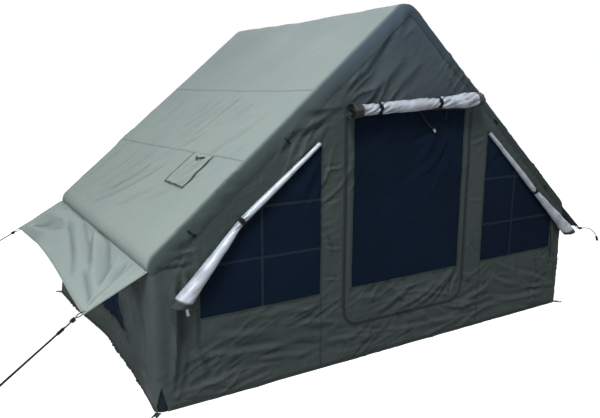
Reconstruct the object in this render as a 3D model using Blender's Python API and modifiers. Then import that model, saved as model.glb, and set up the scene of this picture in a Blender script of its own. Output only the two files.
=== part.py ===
"""An inflatable ridge tent: air beams, sewn skin, mesh door and windows, rolled covers, awnings, guy ropes.

Metres, +Z up. The origin is on the ground under the middle of the groundsheet, and the door gable faces -Y.
"""

import math
from dataclasses import dataclass

import bmesh
import bpy
from mathutils import Matrix, Vector

# Driving sizes of the whole tent
TENT_WIDTH = 3.02
TENT_DEPTH = 2.1
RIDGE_HEIGHT = 2.0
EAVE_WIDTH = 3.03
EAVE_TUBE_HEIGHT = 0.72
TUBE_RADIUS = 0.075
LINK_RADIUS = 0.07
TUBE_CLEARANCE = 0.01
LEG_CLEARANCE = 0.013
CLOTH = 0.003
MESH_CLOTH = 0.0015
FIT = 0.0003

# Skin: rounded edges, seams and the drawn-in foot of the side walls
RIDGE_FLAT = 0.012
RAFTER_EDGE = 0.065
WALL_EDGE = 0.045
SEAM_MARGIN = 0.012
EAVE_TUCK = math.radians(6)
WALL_WAIST = 0.035
RIDGE_STEPS = 3
EAVE_STEPS = 6
WALL_STEPS = 4
EDGE_STEPS = 4
SIDE_STEPS = 6

# Front gable: the door sits beside the ridge line, as the whole row of openings does
FRONT_OFFSET = 0.045
WINDOW_INNER = 0.616
WINDOW_SIDE_BAND = 0.189
RAKE_BAND = 0.2563
SILL_HEIGHT = 0.436
PEAK_DROP = 0.57
DOOR_HALF_WIDTH = 0.46
DOOR_BOTTOM = 0.215
DOOR_CORNER = 0.1
DOOR_SWING_GAP = 0.002
DOOR_BORDER = 0.045
DOOR_HEADER = 0.03
CORNER_STEPS = 5

# Side windows, in the side walls under the awning flaps
SIDE_WINDOW_BOTTOM = 0.22
SIDE_WINDOW_TOP = 0.58
SIDE_WINDOW_FOOT = 0.6
SIDE_WINDOW_HEAD = 0.36
MESH_RECESS = 0.0008

# Groundsheet
FLOOR_CLOTH = 0.002
UPSTAND = 0.12

# Air frame
TUBE_SIDES = 16
SADDLE_SIDES = 21
FACET_TWIST = math.radians(7)
OVERRUN = 0.2

# Inflation valve on the front left leg, turned about the world X axis
VALVE_HEIGHT = 0.34
VALVE_FLANGE_RADIUS = 0.026
VALVE_FLANGE = 0.004
VALVE_SEAT_SINK = 0.0055
VALVE_NECK_RADIUS = 0.015
VALVE_NECK = 0.014
VALVE_SIDES = 24
CAP_WALL = 0.0025
CAP_CLEARANCE = 0.0005
CAP_GRIP_HEIGHT = 0.006
CAP_GRIP_WIDTH = 0.005

# Door zip, its sliders and their pulls
ZIP_TAPE_WIDTH = 0.016
ZIP_TAPE = 0.0012
SLIDER_LENGTH = 0.026
SLIDER_HEIGHT = 0.014
SLIDER_DEPTH = 0.006
SLIDER_BEVEL = 0.0015
SLIDER_SPREAD = 0.09
SLIDER_CENTRE = 0.03
BRIDGE_SPAN = 0.01
BRIDGE_WINDOW = 0.003
BRIDGE_RADIUS = 0.0012
PULL_LENGTH = 0.036
PULL_WIDTH = 0.009
PULL_PLATE = 0.0016
PULL_BAR = 0.0018
PULL_SLOT_LENGTH = 0.009
PULL_SLOT_WIDTH = 0.005

# Awning flaps, hinged along the eave seams
FLAP_CLOTH = 0.002
FLAP_HINGE_GAP = 0.0013
FLAP_HINGE_MARGIN = 0.02
FLAP_TIP_MARGIN = 0.05
FLAP_COLUMNS = 20
FLAP_ROWS = 6
FLAP_FRONT_REACH = 0.33
FLAP_BACK_REACH = 0.359
FLAP_HOLLOW = 0.038
FLAP_HOLLOW_SKEW = 1.4
FLAP_FOLD = 0.014
FLAP_FOLDS = 4
LEFT_FLAP_DROOP = math.radians(28.7)
RIGHT_FLAP_DROOP = math.radians(35.3)
EYELET_RADIUS = 0.007
EYELET_SIDES = 12
EYELET_INSET = 0.024
EYELET_EDGE = 0.013
HOOK_HALF_LENGTH = 0.019
HOOK_HALF_WIDTH = 0.0065
HOOK_WIRE = 0.0025
HOOK_SLACK = 0.0013

# Guy ropes
ROPE_RADIUS = 0.002
PEG_LOOP_HALF_WIDTH = 0.01
PEG_LOOP_LENGTH = 0.04
PEG_LOOP_STEPS = 8
ROPE_STEPS = 6
RUNNER_LENGTH = 0.036
RUNNER_WIDTH = 0.016
RUNNER_DEPTH = 0.011
RUNNER_BEVEL = 0.002
RUNNER_STRAND_OFFSET = 0.0035
RUNNER_BORE_GAP = 0.0004
RUNNER_DISTANCE = 0.085
TIE_DISTANCE = 0.03
ROPE_STUB = 0.008
LEFT_FRONT_PEG = Vector((-2.55, -0.963, 0.0))
LEFT_BACK_PEG = Vector((-2.55, 1.6, 0.0))
RIGHT_BOW = (
    Vector((1.868, -1.0, 0.504)),
    Vector((1.93, -1.0, 0.487)),
    Vector((1.98, -1.0, 0.456)),
    Vector((2.012, -1.0, 0.43)),
)
RIGHT_BOW_END = Vector((2.034, -1.0, 0.386))

# Rolled covers: spiral-wound cloth, tied with straps
ROLL_CLOTH = 0.002
DOOR_ROLL_RADIUS = 0.045
DOOR_ROLL_RADIUS_SHARES = (0.89, 0.755, 0.845, 0.955, 0.98, 0.8, 1.0, 0.91)
DOOR_ROLL_CORE_SHARE = 0.3
DOOR_ROLL_START_INSET = 0.025
DOOR_ROLL_START_DROP = 0.006
DOOR_ROLL_KNEE_SHIFT = 0.035
DOOR_ROLL_KNEE_RISE = 0.022
DOOR_ROLL_END_REACH = 0.03
DOOR_ROLL_END_RISE = 0.046
DOOR_STRAP_SHARES = (0.2, 0.654)
WINDOW_ROLL_RADIUS = 0.048
WINDOW_ROLL_RADIUS_SHARES = (0.25, 0.3, 0.365, 0.415, 0.405, 0.585, 0.79, 1.0)
WINDOW_ROLL_CORE_SHARE = 0.45
WINDOW_ROLL_KNEE_SHARE = 0.68
LEFT_ROLL_START_SHIFT = 0.017
LEFT_ROLL_START_RISE = 0.003
LEFT_ROLL_KNEE_RISE = 0.047
LEFT_ROLL_END_REACH = 0.092
LEFT_ROLL_END_DROP = 0.109
RIGHT_ROLL_START_SHIFT = 0.002
RIGHT_ROLL_START_RISE = 0.014
RIGHT_ROLL_KNEE_RISE = 0.003
RIGHT_ROLL_END_REACH = 0.154
RIGHT_ROLL_END_DROP = 0.127
ROLL_STEPS_PER_TURN = 11
ROLL_RIPPLE_SHARE = 0.05
STRAP_WIDTH = 0.02
STRAP_CLOTH = 0.0018
STRAP_STEPS = 8
STRAP_FREE_STEPS = 1

# Flue port cover on the left roof slope, measured down the slope from the ridge seam
PORT_TOP = 1.233
PORT_HEIGHT = 0.25
PORT_WIDTH = 0.272
PORT_Y = -0.541
PORT_CLOTH = 0.002
PORT_CORNER = 0.012
PORT_GAP = 0.0008

# Peg tabs at the corners
TAB_LENGTH = 0.06
TAB_WIDTH = 0.03
TAB_CLOTH = 0.0025
TAB_HOLE_RADIUS = 0.008
TAB_HOLE_FROM_END = 0.016
TAB_HOLE_SIDES = 12

# Worked out from the sizes above
SKIN_RADIUS = TUBE_RADIUS + TUBE_CLEARANCE + CLOTH
EAVE_X = EAVE_WIDTH / 2 - SKIN_RADIUS
RIDGE_TUBE_HEIGHT = RIDGE_HEIGHT - SKIN_RADIUS
ROOF_SLOPE = math.atan2(RIDGE_TUBE_HEIGHT - EAVE_TUBE_HEIGHT, EAVE_X - RIDGE_FLAT)
GABLE_Y = TENT_DEPTH / 2
WINDOW_OUTER = TENT_WIDTH / 2 - WINDOW_SIDE_BAND
ARCH_Y = GABLE_Y - SKIN_RADIUS
LEG_X = TENT_WIDTH / 2 - CLOTH - LEG_CLEARANCE - TUBE_RADIUS
SADDLE_RADIUS = TUBE_RADIUS / math.cos(math.pi / SADDLE_SIDES) + FIT
SEAM_X = EAVE_X + SKIN_RADIUS * math.cos(EAVE_TUCK)
SEAM_Z = EAVE_TUBE_HEIGHT - SKIN_RADIUS * math.sin(EAVE_TUCK)
FLAP_AXIS_X = SEAM_X + FLAP_HINGE_GAP
ROOF_PITCH = math.tan(ROOF_SLOPE)
PEAK_SEAM_HEIGHT = RIDGE_HEIGHT - PEAK_DROP
ROOF_PLANE_HEIGHT = RIDGE_TUBE_HEIGHT + SKIN_RADIUS / math.cos(ROOF_SLOPE) + ROOF_PITCH * RIDGE_FLAT
WINDOW_TOP = ROOF_PLANE_HEIGHT - ROOF_PITCH * WINDOW_INNER - RAKE_BAND
WINDOW_SHOULDER = WINDOW_TOP - ROOF_PITCH * (WINDOW_OUTER - WINDOW_INNER)
DOOR_TOP = PEAK_SEAM_HEIGHT - DOOR_SWING_GAP
ROLL_FACE_Y = -GABLE_Y - FIT - ROLL_CLOTH / 2

# Finishes: colour, roughness, metallic
FINISHES = {
    "roof_cloth": ((0.30, 0.35, 0.33), 0.55, 0.0),
    "wall_cloth": ((0.05, 0.07, 0.068), 0.6, 0.0),
    "mesh": ((0.008, 0.014, 0.03), 0.7, 0.0),
    "silver_cloth": ((0.55, 0.58, 0.66), 0.35, 0.3),
    "groundsheet": ((0.02, 0.03, 0.06), 0.5, 0.0),
    "air_tube": ((0.35, 0.36, 0.35), 0.4, 0.0),
    "strap": ((0.01, 0.01, 0.012), 0.6, 0.0),
    "black_plastic": ((0.012, 0.012, 0.013), 0.35, 0.0),
    "zip_metal": ((0.05, 0.05, 0.052), 0.35, 0.8),
    "rope": ((0.03, 0.035, 0.033), 0.7, 0.0),
}

FACING_FRONT = (math.radians(90), 0.0, 0.0)
FACING_SIDE = (math.radians(90), 0.0, math.radians(90))
FLAT = (0.0, 0.0, 0.0)


def clear_scene():
    for old in list(bpy.data.objects):
        bpy.data.objects.remove(old)
    for name in ("inflatable_tent", "cutters"):
        bpy.context.scene.collection.children.link(bpy.data.collections.new(name))


def finish(name):
    """The Principled material of that name, made once."""
    if name in bpy.data.materials:
        return bpy.data.materials[name]
    colour, roughness, metallic = FINISHES[name]
    made = bpy.data.materials.new(name)
    made.use_nodes = True
    shader = made.node_tree.nodes["Principled BSDF"]
    shader.inputs["Base Color"].default_value = (*colour, 1.0)
    shader.inputs["Roughness"].default_value = roughness
    shader.inputs["Metallic"].default_value = metallic
    return made


def add_part(name, data, material, location=(0.0, 0.0, 0.0), rotation=FLAT):
    """A visible sub-part from a mesh or a curve."""
    part = bpy.data.objects.new(name, data)
    data.materials.append(finish(material))
    part.location = location
    part.rotation_euler = rotation
    bpy.data.collections["inflatable_tent"].objects.link(part)
    return part


def add_cutter(name, data, location=(0.0, 0.0, 0.0), rotation=FLAT):
    """A hidden mesh that booleans use."""
    cutter = bpy.data.objects.new(name, data)
    cutter.location = location
    cutter.rotation_euler = rotation
    cutter.hide_render = True
    cutter.display_type = "WIRE"
    bpy.data.collections["cutters"].objects.link(cutter)
    return cutter


def boolean(part, cutter, operation="DIFFERENCE"):
    modifier = part.modifiers.new(operation.title(), "BOOLEAN")
    modifier.operation = operation
    modifier.solver = "EXACT"
    modifier.object = cutter


def mesh_of(bm, name):
    """The finished mesh of a bmesh, faces out and smooth where they turn gently."""
    bmesh.ops.recalc_face_normals(bm, faces=bm.faces)
    mesh = bpy.data.meshes.new(name)
    bm.to_mesh(mesh)
    bm.free()
    mesh.shade_smooth()
    mesh.set_sharp_from_angle(angle=math.radians(35))
    return mesh


def curve_mesh(curve, name):
    """A curve's shape as a welded mesh, so that booleans can use it."""
    helper = bpy.data.objects.new(name, curve)
    bpy.context.scene.collection.objects.link(helper)
    bpy.context.view_layer.update()
    evaluated = helper.evaluated_get(bpy.context.evaluated_depsgraph_get())
    raw = bpy.data.meshes.new_from_object(evaluated)
    bpy.data.objects.remove(helper)
    bm = bmesh.new()
    bm.from_mesh(raw)
    bmesh.ops.remove_doubles(bm, verts=bm.verts, dist=FIT / 10)
    bpy.data.meshes.remove(raw)
    return mesh_of(bm, name)


def plate_mesh(name, outlines, thickness):
    """A flat plate: the first outline is its edge, and the others are holes in it. It lies in local XY."""
    curve = bpy.data.curves.new(name, "CURVE")
    curve.dimensions = "2D"
    curve.fill_mode = "BOTH"
    curve.extrude = thickness / 2
    for outline in outlines:
        spline = curve.splines.new("POLY")
        spline.points.add(len(outline) - 1)
        for point, (x, y) in zip(spline.points, outline):
            point.co = (x, y, 0.0, 1.0)
        spline.use_cyclic_u = True
    return curve_mesh(curve, name)


def wire_curve(name, path, radius, closed=False):
    """A round wire or cord along a path."""
    curve = bpy.data.curves.new(name, "CURVE")
    curve.dimensions = "3D"
    curve.bevel_depth = radius
    curve.bevel_resolution = 2
    curve.use_fill_caps = not closed
    spline = curve.splines.new("POLY")
    spline.points.add(len(path) - 1)
    for point, place in zip(spline.points, path):
        point.co = (*place, 1.0)
    spline.use_cyclic_u = closed
    return curve


def shaped_sheet(name, columns, rows, place, thickness, material, origin=(0.0, 0.0, 0.0), offset=-1.0):
    """Cloth: a grid whose points place(u, v) moves, given a thickness. u and v run from 0 to 1."""
    bm = bmesh.new()
    bmesh.ops.create_grid(bm, x_segments=columns, y_segments=rows, size=0.5)
    for vertex in bm.verts:
        u = vertex.co.x + 0.5
        v = vertex.co.y + 0.5
        vertex.co = Vector(place(u, v)) - Vector(origin)
    mesh = bpy.data.meshes.new(name)
    bm.to_mesh(mesh)
    bm.free()
    mesh.shade_smooth()
    mesh.set_sharp_from_angle(angle=math.radians(40))
    part = add_part(name, mesh, material, location=origin)
    solid = part.modifiers.new("Thickness", "SOLIDIFY")
    solid.thickness = thickness
    solid.offset = offset
    solid.use_even_offset = True
    return part


def box_mesh(name, size, bevel):
    """A box with bevelled edges, centred on its origin."""
    bm = bmesh.new()
    bmesh.ops.create_cube(bm, size=1.0)
    bmesh.ops.scale(bm, vec=size, verts=bm.verts)
    bmesh.ops.bevel(bm, geom=bm.edges[:], offset=bevel, segments=2, affect="EDGES", profile=0.5)
    return mesh_of(bm, name)


def cylinder_mesh(name, radius, length, sides):
    bm = bmesh.new()
    bmesh.ops.create_cone(bm, cap_ends=True, segments=sides, radius1=radius, radius2=radius, depth=length)
    return mesh_of(bm, name)


def turned_part(name, profile, material, location, sides):
    """A solid turned about the world X axis from a profile of (radius, height along the axis)."""
    mesh = bpy.data.meshes.new(name)
    points = [(height, 0.0, radius) for radius, height in profile]
    edges = [(i, i + 1) for i in range(len(points) - 1)]
    mesh.from_pydata(points, edges, [])
    part = add_part(name, mesh, material, location=location)
    screw = part.modifiers.new("Turn", "SCREW")
    screw.axis = "X"
    screw.steps = sides
    screw.render_steps = sides
    screw.use_merge_vertices = True
    screw.merge_threshold = FIT / 10
    screw.use_smooth_shade = False
    return part


def mix(a, b, share):
    return a + (b - a) * share


def arc(centre, radius, start, end, steps):
    """Points on an arc in a plane, both ends included."""
    angles = [mix(start, end, i / steps) for i in range(steps + 1)]
    return [(centre[0] + radius * math.cos(t), centre[1] + radius * math.sin(t)) for t in angles]


def area(outline):
    pairs = zip(outline, outline[1:] + outline[:1])
    return sum(a[0] * b[1] - b[0] * a[1] for a, b in pairs) / 2


def clip(outline, point, inward):
    """The part of a convex outline on the inward side of a line."""
    kept = []
    for a, b in zip(outline, outline[1:] + outline[:1]):
        side_a = (a[0] - point[0]) * inward[0] + (a[1] - point[1]) * inward[1]
        side_b = (b[0] - point[0]) * inward[0] + (b[1] - point[1]) * inward[1]
        if side_a >= 0:
            kept.append(a)
        if side_a * side_b < 0:
            share = side_a / (side_a - side_b)
            kept.append((mix(a[0], b[0], share), mix(a[1], b[1], share)))
    return kept


def inset(outline, distance):
    """The outline with every edge moved inwards by the distance."""
    turn = 1 if area(outline) > 0 else -1
    moved = []
    count = len(outline)
    for i in range(count):
        before = Vector(outline[i - 1])
        here = Vector(outline[i])
        after = Vector(outline[(i + 1) % count])
        first = (here - before).normalized()
        second = (after - here).normalized()
        normal_a = Vector((-first.y, first.x)) * turn
        normal_b = Vector((-second.y, second.x)) * turn
        mitre = (normal_a + normal_b) / (1 + normal_a.dot(normal_b))
        moved.append(tuple(here + mitre * distance))
    return moved


@dataclass
class Station:
    """A point of the skin's cross-section, the way its gable edge turns in, and that edge's radius."""

    point: Vector
    inward: Vector
    edge: float


def roof_stations():
    """The cross-section of a roof panel, from the ridge seam to the eave seam."""
    up = Vector((0.0, 1.0))
    found = [Station(Vector((FIT / 2, RIDGE_HEIGHT)), up, RAFTER_EDGE)]
    top = math.radians(90)
    roof_normal = top - ROOF_SLOPE
    for i in range(RIDGE_STEPS + 1):
        angle = mix(top, roof_normal, i / RIDGE_STEPS)
        out = Vector((math.cos(angle), math.sin(angle)))
        place = Vector((RIDGE_FLAT, RIDGE_TUBE_HEIGHT)) + out * SKIN_RADIUS
        found.append(Station(place, out, RAFTER_EDGE))
    for i in range(EAVE_STEPS + 1):
        share = i / EAVE_STEPS
        angle = mix(roof_normal, -EAVE_TUCK, share)
        turn = mix(roof_normal, 0.0, share)
        out = Vector((math.cos(angle), math.sin(angle)))
        place = Vector((EAVE_X, EAVE_TUBE_HEIGHT)) + out * SKIN_RADIUS
        inward = Vector((math.cos(turn), math.sin(turn)))
        found.append(Station(place, inward, mix(RAFTER_EDGE, WALL_EDGE, share)))
    return found


def wall_stations():
    """The cross-section of a side wall, from the eave seam to the ground."""
    level = Vector((1.0, 0.0))
    top = Vector((SEAM_X, SEAM_Z - 2 * FIT))
    foot = Vector((TENT_WIDTH / 2, 0.0))
    return [Station(top.lerp(foot, i / WALL_STEPS), level, WALL_EDGE) for i in range(WALL_STEPS + 1)]


def depth_steps(middle_steps):
    """Steps from the front gable to the back: (end, edge angle, on the gable's plane, middle share)."""
    quarter = math.radians(90)
    front = [(-1, quarter, True, 0.0)]
    front += [(-1, quarter * (1 - i / EDGE_STEPS), False, 0.0) for i in range(EDGE_STEPS)]
    middle = [(0, 0.0, False, i / middle_steps) for i in range(middle_steps + 1)]
    back = [(1, angle, flat, 1.0) for _, angle, flat, _ in reversed(front)]
    return front + middle + back


def waist(share):
    """How far the foot of a side wall is drawn in, at a share of the way along it."""
    return WALL_WAIST * 4 * share * (1 - share)


def skin_point(station, step, side, drawn_in=0.0, recess=0.0):
    """A point of the skin on the station's line. side is -1 on the left and 1 on the right."""
    end, angle, flat, share = step
    depth = station.edge * (1 - math.cos(angle)) + recess
    if flat:
        depth += SEAM_MARGIN - FIT / 2
    if end == 0:
        reach = GABLE_Y - station.edge
        y = mix(-reach, reach, share)
        depth += drawn_in
    else:
        y = end * (GABLE_Y - station.edge * (1 - math.sin(angle)))
    place = station.point - station.inward * depth
    return Vector((side * place.x, y, place.y))


def skin_panel(name, stations, middle_steps, side, thickness, material, draw=None, recess=0.0):
    """A sewn panel that wraps round the gable edges at its two ends."""
    steps = depth_steps(middle_steps)
    last_row = len(stations) - 1
    last_column = len(steps) - 1

    def place(u, v):
        column = round(u * last_column)
        row = round(v * last_row)
        if side > 0:
            column = last_column - column
        step = steps[column]
        drawn_in = draw(row / last_row, step[3]) if draw else 0.0
        return skin_point(stations[row], step, side, drawn_in, recess)

    return shaped_sheet(name, last_column, last_row, place, thickness, material)


def wall_draw(row_share, share):
    return waist(share) * row_share**2


def gable_outline():
    """The flat part of a gable, inside its rounded edges: (x, z) from the right foot to the left one."""
    right = []
    for station in wall_stations()[::-1] + roof_stations()[::-1]:
        place = station.point - station.inward * (station.edge + SEAM_MARGIN)
        right.append((place.x, place.y))
    apart = right[:1]
    for point in right[1:]:
        if (Vector(point) - Vector(apart[-1])).length > 2 * FIT:
            apart.append(point)
    apart = [p for p in apart if p[0] > FIT]
    return apart + [(-x, z) for x, z in reversed(apart)]


def front_panel(name, outline, material="wall_cloth", thickness=CLOTH):
    """A flat panel of the front gable, with half a seam gap all round."""
    mesh = plate_mesh(name, [inset(outline, FIT / 2)], thickness)
    place = (0.0, -GABLE_Y + CLOTH / 2, 0.0)
    return add_part(name, mesh, material, location=place, rotation=FACING_FRONT)


def window_outline(side):
    inner = FRONT_OFFSET + side * WINDOW_INNER
    outer = FRONT_OFFSET + side * WINDOW_OUTER
    return [(inner, SILL_HEIGHT), (outer, SILL_HEIGHT), (outer, WINDOW_SHOULDER), (inner, WINDOW_TOP)]


def door_outline(grow=0.0):
    """The door leaf's edge, with rounded lower corners, widened by grow."""
    left = FRONT_OFFSET - DOOR_HALF_WIDTH - grow
    right = FRONT_OFFSET + DOOR_HALF_WIDTH + grow
    bottom = DOOR_BOTTOM - grow
    radius = DOOR_CORNER + grow
    foot = bottom + radius
    half_turn = math.radians(180)
    lower_left = arc((left + radius, foot), radius, half_turn, 1.5 * half_turn, CORNER_STEPS)
    lower_right = arc((right - radius, foot), radius, 1.5 * half_turn, 2 * half_turn, CORNER_STEPS)
    return [(left, DOOR_TOP)] + lower_left + lower_right + [(right, DOOR_TOP)]


def build_roof():
    for side, word in ((-1, "left"), (1, "right")):
        skin_panel(f"roof_panel_{word}", roof_stations(), 1, side, CLOTH, "roof_cloth")


def side_window_cutter(name, shrink):
    outline = [
        (-SIDE_WINDOW_FOOT, SIDE_WINDOW_BOTTOM),
        (SIDE_WINDOW_FOOT, SIDE_WINDOW_BOTTOM),
        (SIDE_WINDOW_HEAD, SIDE_WINDOW_TOP),
        (-SIDE_WINDOW_HEAD, SIDE_WINDOW_TOP),
    ]
    mesh = plate_mesh(name, [inset(outline, shrink)], TENT_WIDTH + 2 * OVERRUN)
    return add_cutter(name, mesh, rotation=FACING_SIDE)


def build_walls():
    hole = side_window_cutter("side_window_hole", 0.0)
    pane = side_window_cutter("side_window_pane", FIT)
    for side, word in ((-1, "left"), (1, "right")):
        wall = skin_panel(
            f"wall_{word}", wall_stations(), SIDE_STEPS, side, CLOTH, "wall_cloth", draw=wall_draw
        )
        boolean(wall, hole)
        mesh = skin_panel(
            f"side_window_mesh_{word}",
            wall_stations(),
            SIDE_STEPS,
            side,
            MESH_CLOTH,
            "mesh",
            draw=wall_draw,
            recess=MESH_RECESS,
        )
        boolean(mesh, pane, "INTERSECT")


def build_gables():
    outline = gable_outline()
    back = plate_mesh("gable_back", [inset(outline, FIT / 2)], CLOTH)
    place = (0.0, GABLE_Y - CLOTH / 2, 0.0)
    add_part("gable_back", back, "wall_cloth", location=place, rotation=FACING_FRONT)
    below_peak = clip(outline, (0.0, PEAK_SEAM_HEIGHT), (0.0, -1.0))
    front_panel("front_peak_panel", clip(outline, (0.0, PEAK_SEAM_HEIGHT), (0.0, 1.0)))
    for side, word in ((-1, "left"), (1, "right")):
        inner = FRONT_OFFSET + side * WINDOW_INNER
        outer = FRONT_OFFSET + side * WINDOW_OUTER
        jamb = FRONT_OFFSET + side * DOOR_HALF_WIDTH
        beyond_post = clip(below_peak, (inner, 0.0), (side, 0.0))
        rake = (side * math.sin(ROOF_SLOPE), math.cos(ROOF_SLOPE))
        above_window = clip(beyond_post, (inner, WINDOW_TOP), rake)
        front_panel(f"front_rafter_panel_{word}", clip(above_window, (0.0, WINDOW_SHOULDER), (0.0, 1.0)))
        lower = clip(beyond_post, (0.0, WINDOW_SHOULDER), (0.0, -1.0))
        notch = [(outer, WINDOW_SHOULDER), (outer, SILL_HEIGHT), (inner, SILL_HEIGHT)]
        corner = lower.index(min(lower, key=lambda p: abs(p[0] - inner) + abs(p[1] - WINDOW_SHOULDER)))
        if lower[corner - 1][1] < SILL_HEIGHT:
            notch.reverse()
        front_panel(f"front_wall_{word}", lower[:corner] + notch + lower[corner + 1 :])
        post = clip(clip(below_peak, (inner, 0.0), (-side, 0.0)), (jamb, 0.0), (side, 0.0))
        front_panel(f"door_post_{word}", post)
    edge = door_outline()[1:-1]
    foot = [(edge[-1][0], 0.0), (edge[0][0], 0.0)]
    front_panel("door_threshold", edge + foot)


def build_front_windows():
    for side, word in ((-1, "left"), (1, "right")):
        outline = inset(window_outline(side), FIT)
        mesh = plate_mesh(f"front_window_mesh_{word}", [outline], MESH_CLOTH)
        place = (0.0, -GABLE_Y + CLOTH / 2, 0.0)
        add_part(f"front_window_mesh_{word}", mesh, "mesh", location=place, rotation=FACING_FRONT)


def build_door():
    """The door leaf hangs from the peak panel and opens into the cabin; its origin is on its top edge."""
    hinge = (0.0, -GABLE_Y + CLOTH / 2, DOOR_TOP)
    left = FRONT_OFFSET - DOOR_HALF_WIDTH + DOOR_BORDER
    right = FRONT_OFFSET + DOOR_HALF_WIDTH - DOOR_BORDER
    top = DOOR_TOP - DOOR_HEADER
    pane = [(left, SILL_HEIGHT), (right, SILL_HEIGHT), (right, top), (left, top)]
    shift = [(x, z - DOOR_TOP) for x, z in inset(door_outline(), FIT)]
    lifted = [(x, min(z, 0.0)) for x, z in shift]
    lowered_pane = [(x, z - DOOR_TOP) for x, z in pane]
    border = plate_mesh("door_border", [lifted, lowered_pane], CLOTH)
    add_part("door_border", border, "wall_cloth", location=hinge, rotation=FACING_FRONT)
    mesh = plate_mesh("door_mesh", [inset(lowered_pane, FIT)], MESH_CLOTH)
    add_part("door_mesh", mesh, "mesh", location=hinge, rotation=FACING_FRONT)


def build_zip():
    """The zip tape runs down one side of the door, along its foot and up the other side."""
    outer = door_outline(ZIP_TAPE_WIDTH / 2)
    inner = door_outline(-ZIP_TAPE_WIDTH / 2)
    top = DOOR_TOP - DOOR_HEADER
    outer[0] = (outer[0][0], top)
    outer[-1] = (outer[-1][0], top)
    inner[0] = (inner[0][0], top)
    inner[-1] = (inner[-1][0], top)
    tape = plate_mesh("door_zip_tape", [outer + inner[::-1]], ZIP_TAPE)
    tape_y = -GABLE_Y - FIT - ZIP_TAPE / 2
    add_part("door_zip_tape", tape, "strap", location=(0.0, tape_y, 0.0), rotation=FACING_FRONT)
    body_y = -GABLE_Y - 2 * FIT - ZIP_TAPE - SLIDER_DEPTH / 2
    bar_y = body_y - SLIDER_DEPTH / 2 - BRIDGE_WINDOW / 2
    for side, word in ((-1, "left"), (1, "right")):
        x = SLIDER_CENTRE + side * SLIDER_SPREAD / 2
        place = (x, body_y, DOOR_BOTTOM)
        body = add_part(
            f"zip_slider_{word}",
            box_mesh("slider", (SLIDER_LENGTH, SLIDER_DEPTH, SLIDER_HEIGHT), SLIDER_BEVEL),
            "zip_metal",
            location=place,
        )
        boolean(body, bridge_cutter(word, place), "UNION")
        pull = pull_plate(f"zip_pull_{word}", -side)
        bar = (x, bar_y, DOOR_BOTTOM)
        add_part(f"zip_pull_{word}", pull, "zip_metal", location=bar, rotation=FACING_FRONT)


def bridge_cutter(word, place):
    """The slider's bridge, which the pull hangs on, joined to it by a union."""
    half = BRIDGE_SPAN / 2
    foot = -SLIDER_DEPTH / 2 + BRIDGE_RADIUS
    crown = -SLIDER_DEPTH / 2 - BRIDGE_WINDOW - BRIDGE_RADIUS
    shoulder = crown + BRIDGE_RADIUS
    path = [
        (-half, foot, 0.0),
        (-half, shoulder, 0.0),
        (-half + BRIDGE_RADIUS, crown, 0.0),
        (half - BRIDGE_RADIUS, crown, 0.0),
        (half, shoulder, 0.0),
        (half, foot, 0.0),
    ]
    mesh = curve_mesh(wire_curve(f"bridge_{word}", path, BRIDGE_RADIUS), f"bridge_{word}")
    return add_cutter(f"bridge_{word}", mesh, location=place)


def pull_plate(name, side):
    """A zip pull: a plate whose end bar lies in the slider's bridge, at the plate's origin."""
    bar = -PULL_BAR / 2
    slot = PULL_BAR / 2
    half = PULL_WIDTH / 2
    tip = PULL_LENGTH - half
    quarter = math.radians(90)
    outline = [(bar, -half)] + arc((tip, 0.0), half, -quarter, quarter, CORNER_STEPS) + [(bar, half)]
    hole_half = PULL_SLOT_WIDTH / 2
    end = slot + PULL_SLOT_LENGTH
    hole = [(slot, -hole_half), (end, -hole_half), (end, hole_half), (slot, hole_half)]
    outlines = [[(side * x, z) for x, z in points] for points in (outline, hole)]
    return plate_mesh(name, outlines, PULL_PLATE)


def tray_outline(gap):
    """The groundsheet's edge, which follows the drawn-in feet of the side walls."""
    foot = wall_stations()[-1]
    right = []
    for step in depth_steps(SIDE_STEPS):
        if step[2]:
            continue
        drawn_in = waist(step[3])
        place = skin_point(foot, step, 1, drawn_in)
        right.append((place.x, place.y))
    whole = right + [(-x, y) for x, y in reversed(right)]
    return inset(whole, gap)


def build_groundsheet():
    outer = plate_mesh("groundsheet", [tray_outline(CLOTH + 2 * FIT)], UPSTAND)
    sheet = add_part("groundsheet", outer, "groundsheet", location=(0.0, 0.0, UPSTAND / 2))
    inner = plate_mesh("groundsheet_hollow", [tray_outline(CLOTH + 2 * FIT + FLOOR_CLOTH)], UPSTAND)
    hollow = add_cutter("groundsheet_hollow", inner, location=(0.0, 0.0, UPSTAND / 2 + FLOOR_CLOTH))
    boolean(sheet, hollow)


def tube_mesh(name, start, end, radius, mitres, sides=TUBE_SIDES, twist=0.0):
    """A tube from start to end, cut by planes (point, outward normal), its facets turned by twist."""
    way = end - start
    bm = bmesh.new()
    turn = way.to_track_quat("Z", "Y").to_matrix().to_4x4()
    matrix = Matrix.Translation((start + end) / 2) @ turn @ Matrix.Rotation(twist, 4, "Z")
    bmesh.ops.create_cone(
        bm,
        cap_ends=True,
        segments=sides,
        radius1=radius,
        radius2=radius,
        depth=way.length + 2 * OVERRUN,
        matrix=matrix,
    )
    for point, outward in mitres:
        whole = bm.verts[:] + bm.edges[:] + bm.faces[:]
        cut = bmesh.ops.bisect_plane(bm, geom=whole, plane_co=point, plane_no=outward, clear_outer=True)
        rim = [edge for edge in cut["geom_cut"] if isinstance(edge, bmesh.types.BMEdge)]
        bmesh.ops.contextual_create(bm, geom=rim)
    return mesh_of(bm, name)


def arch_points(side, y):
    """Foot, eave and ridge of half an arch."""
    foot = Vector((side * LEG_X, y, FLOOR_CLOTH + FIT))
    eave = Vector((side * EAVE_X, y, EAVE_TUBE_HEIGHT))
    ridge = Vector((0.0, y, RIDGE_TUBE_HEIGHT))
    return foot, eave, ridge


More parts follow.
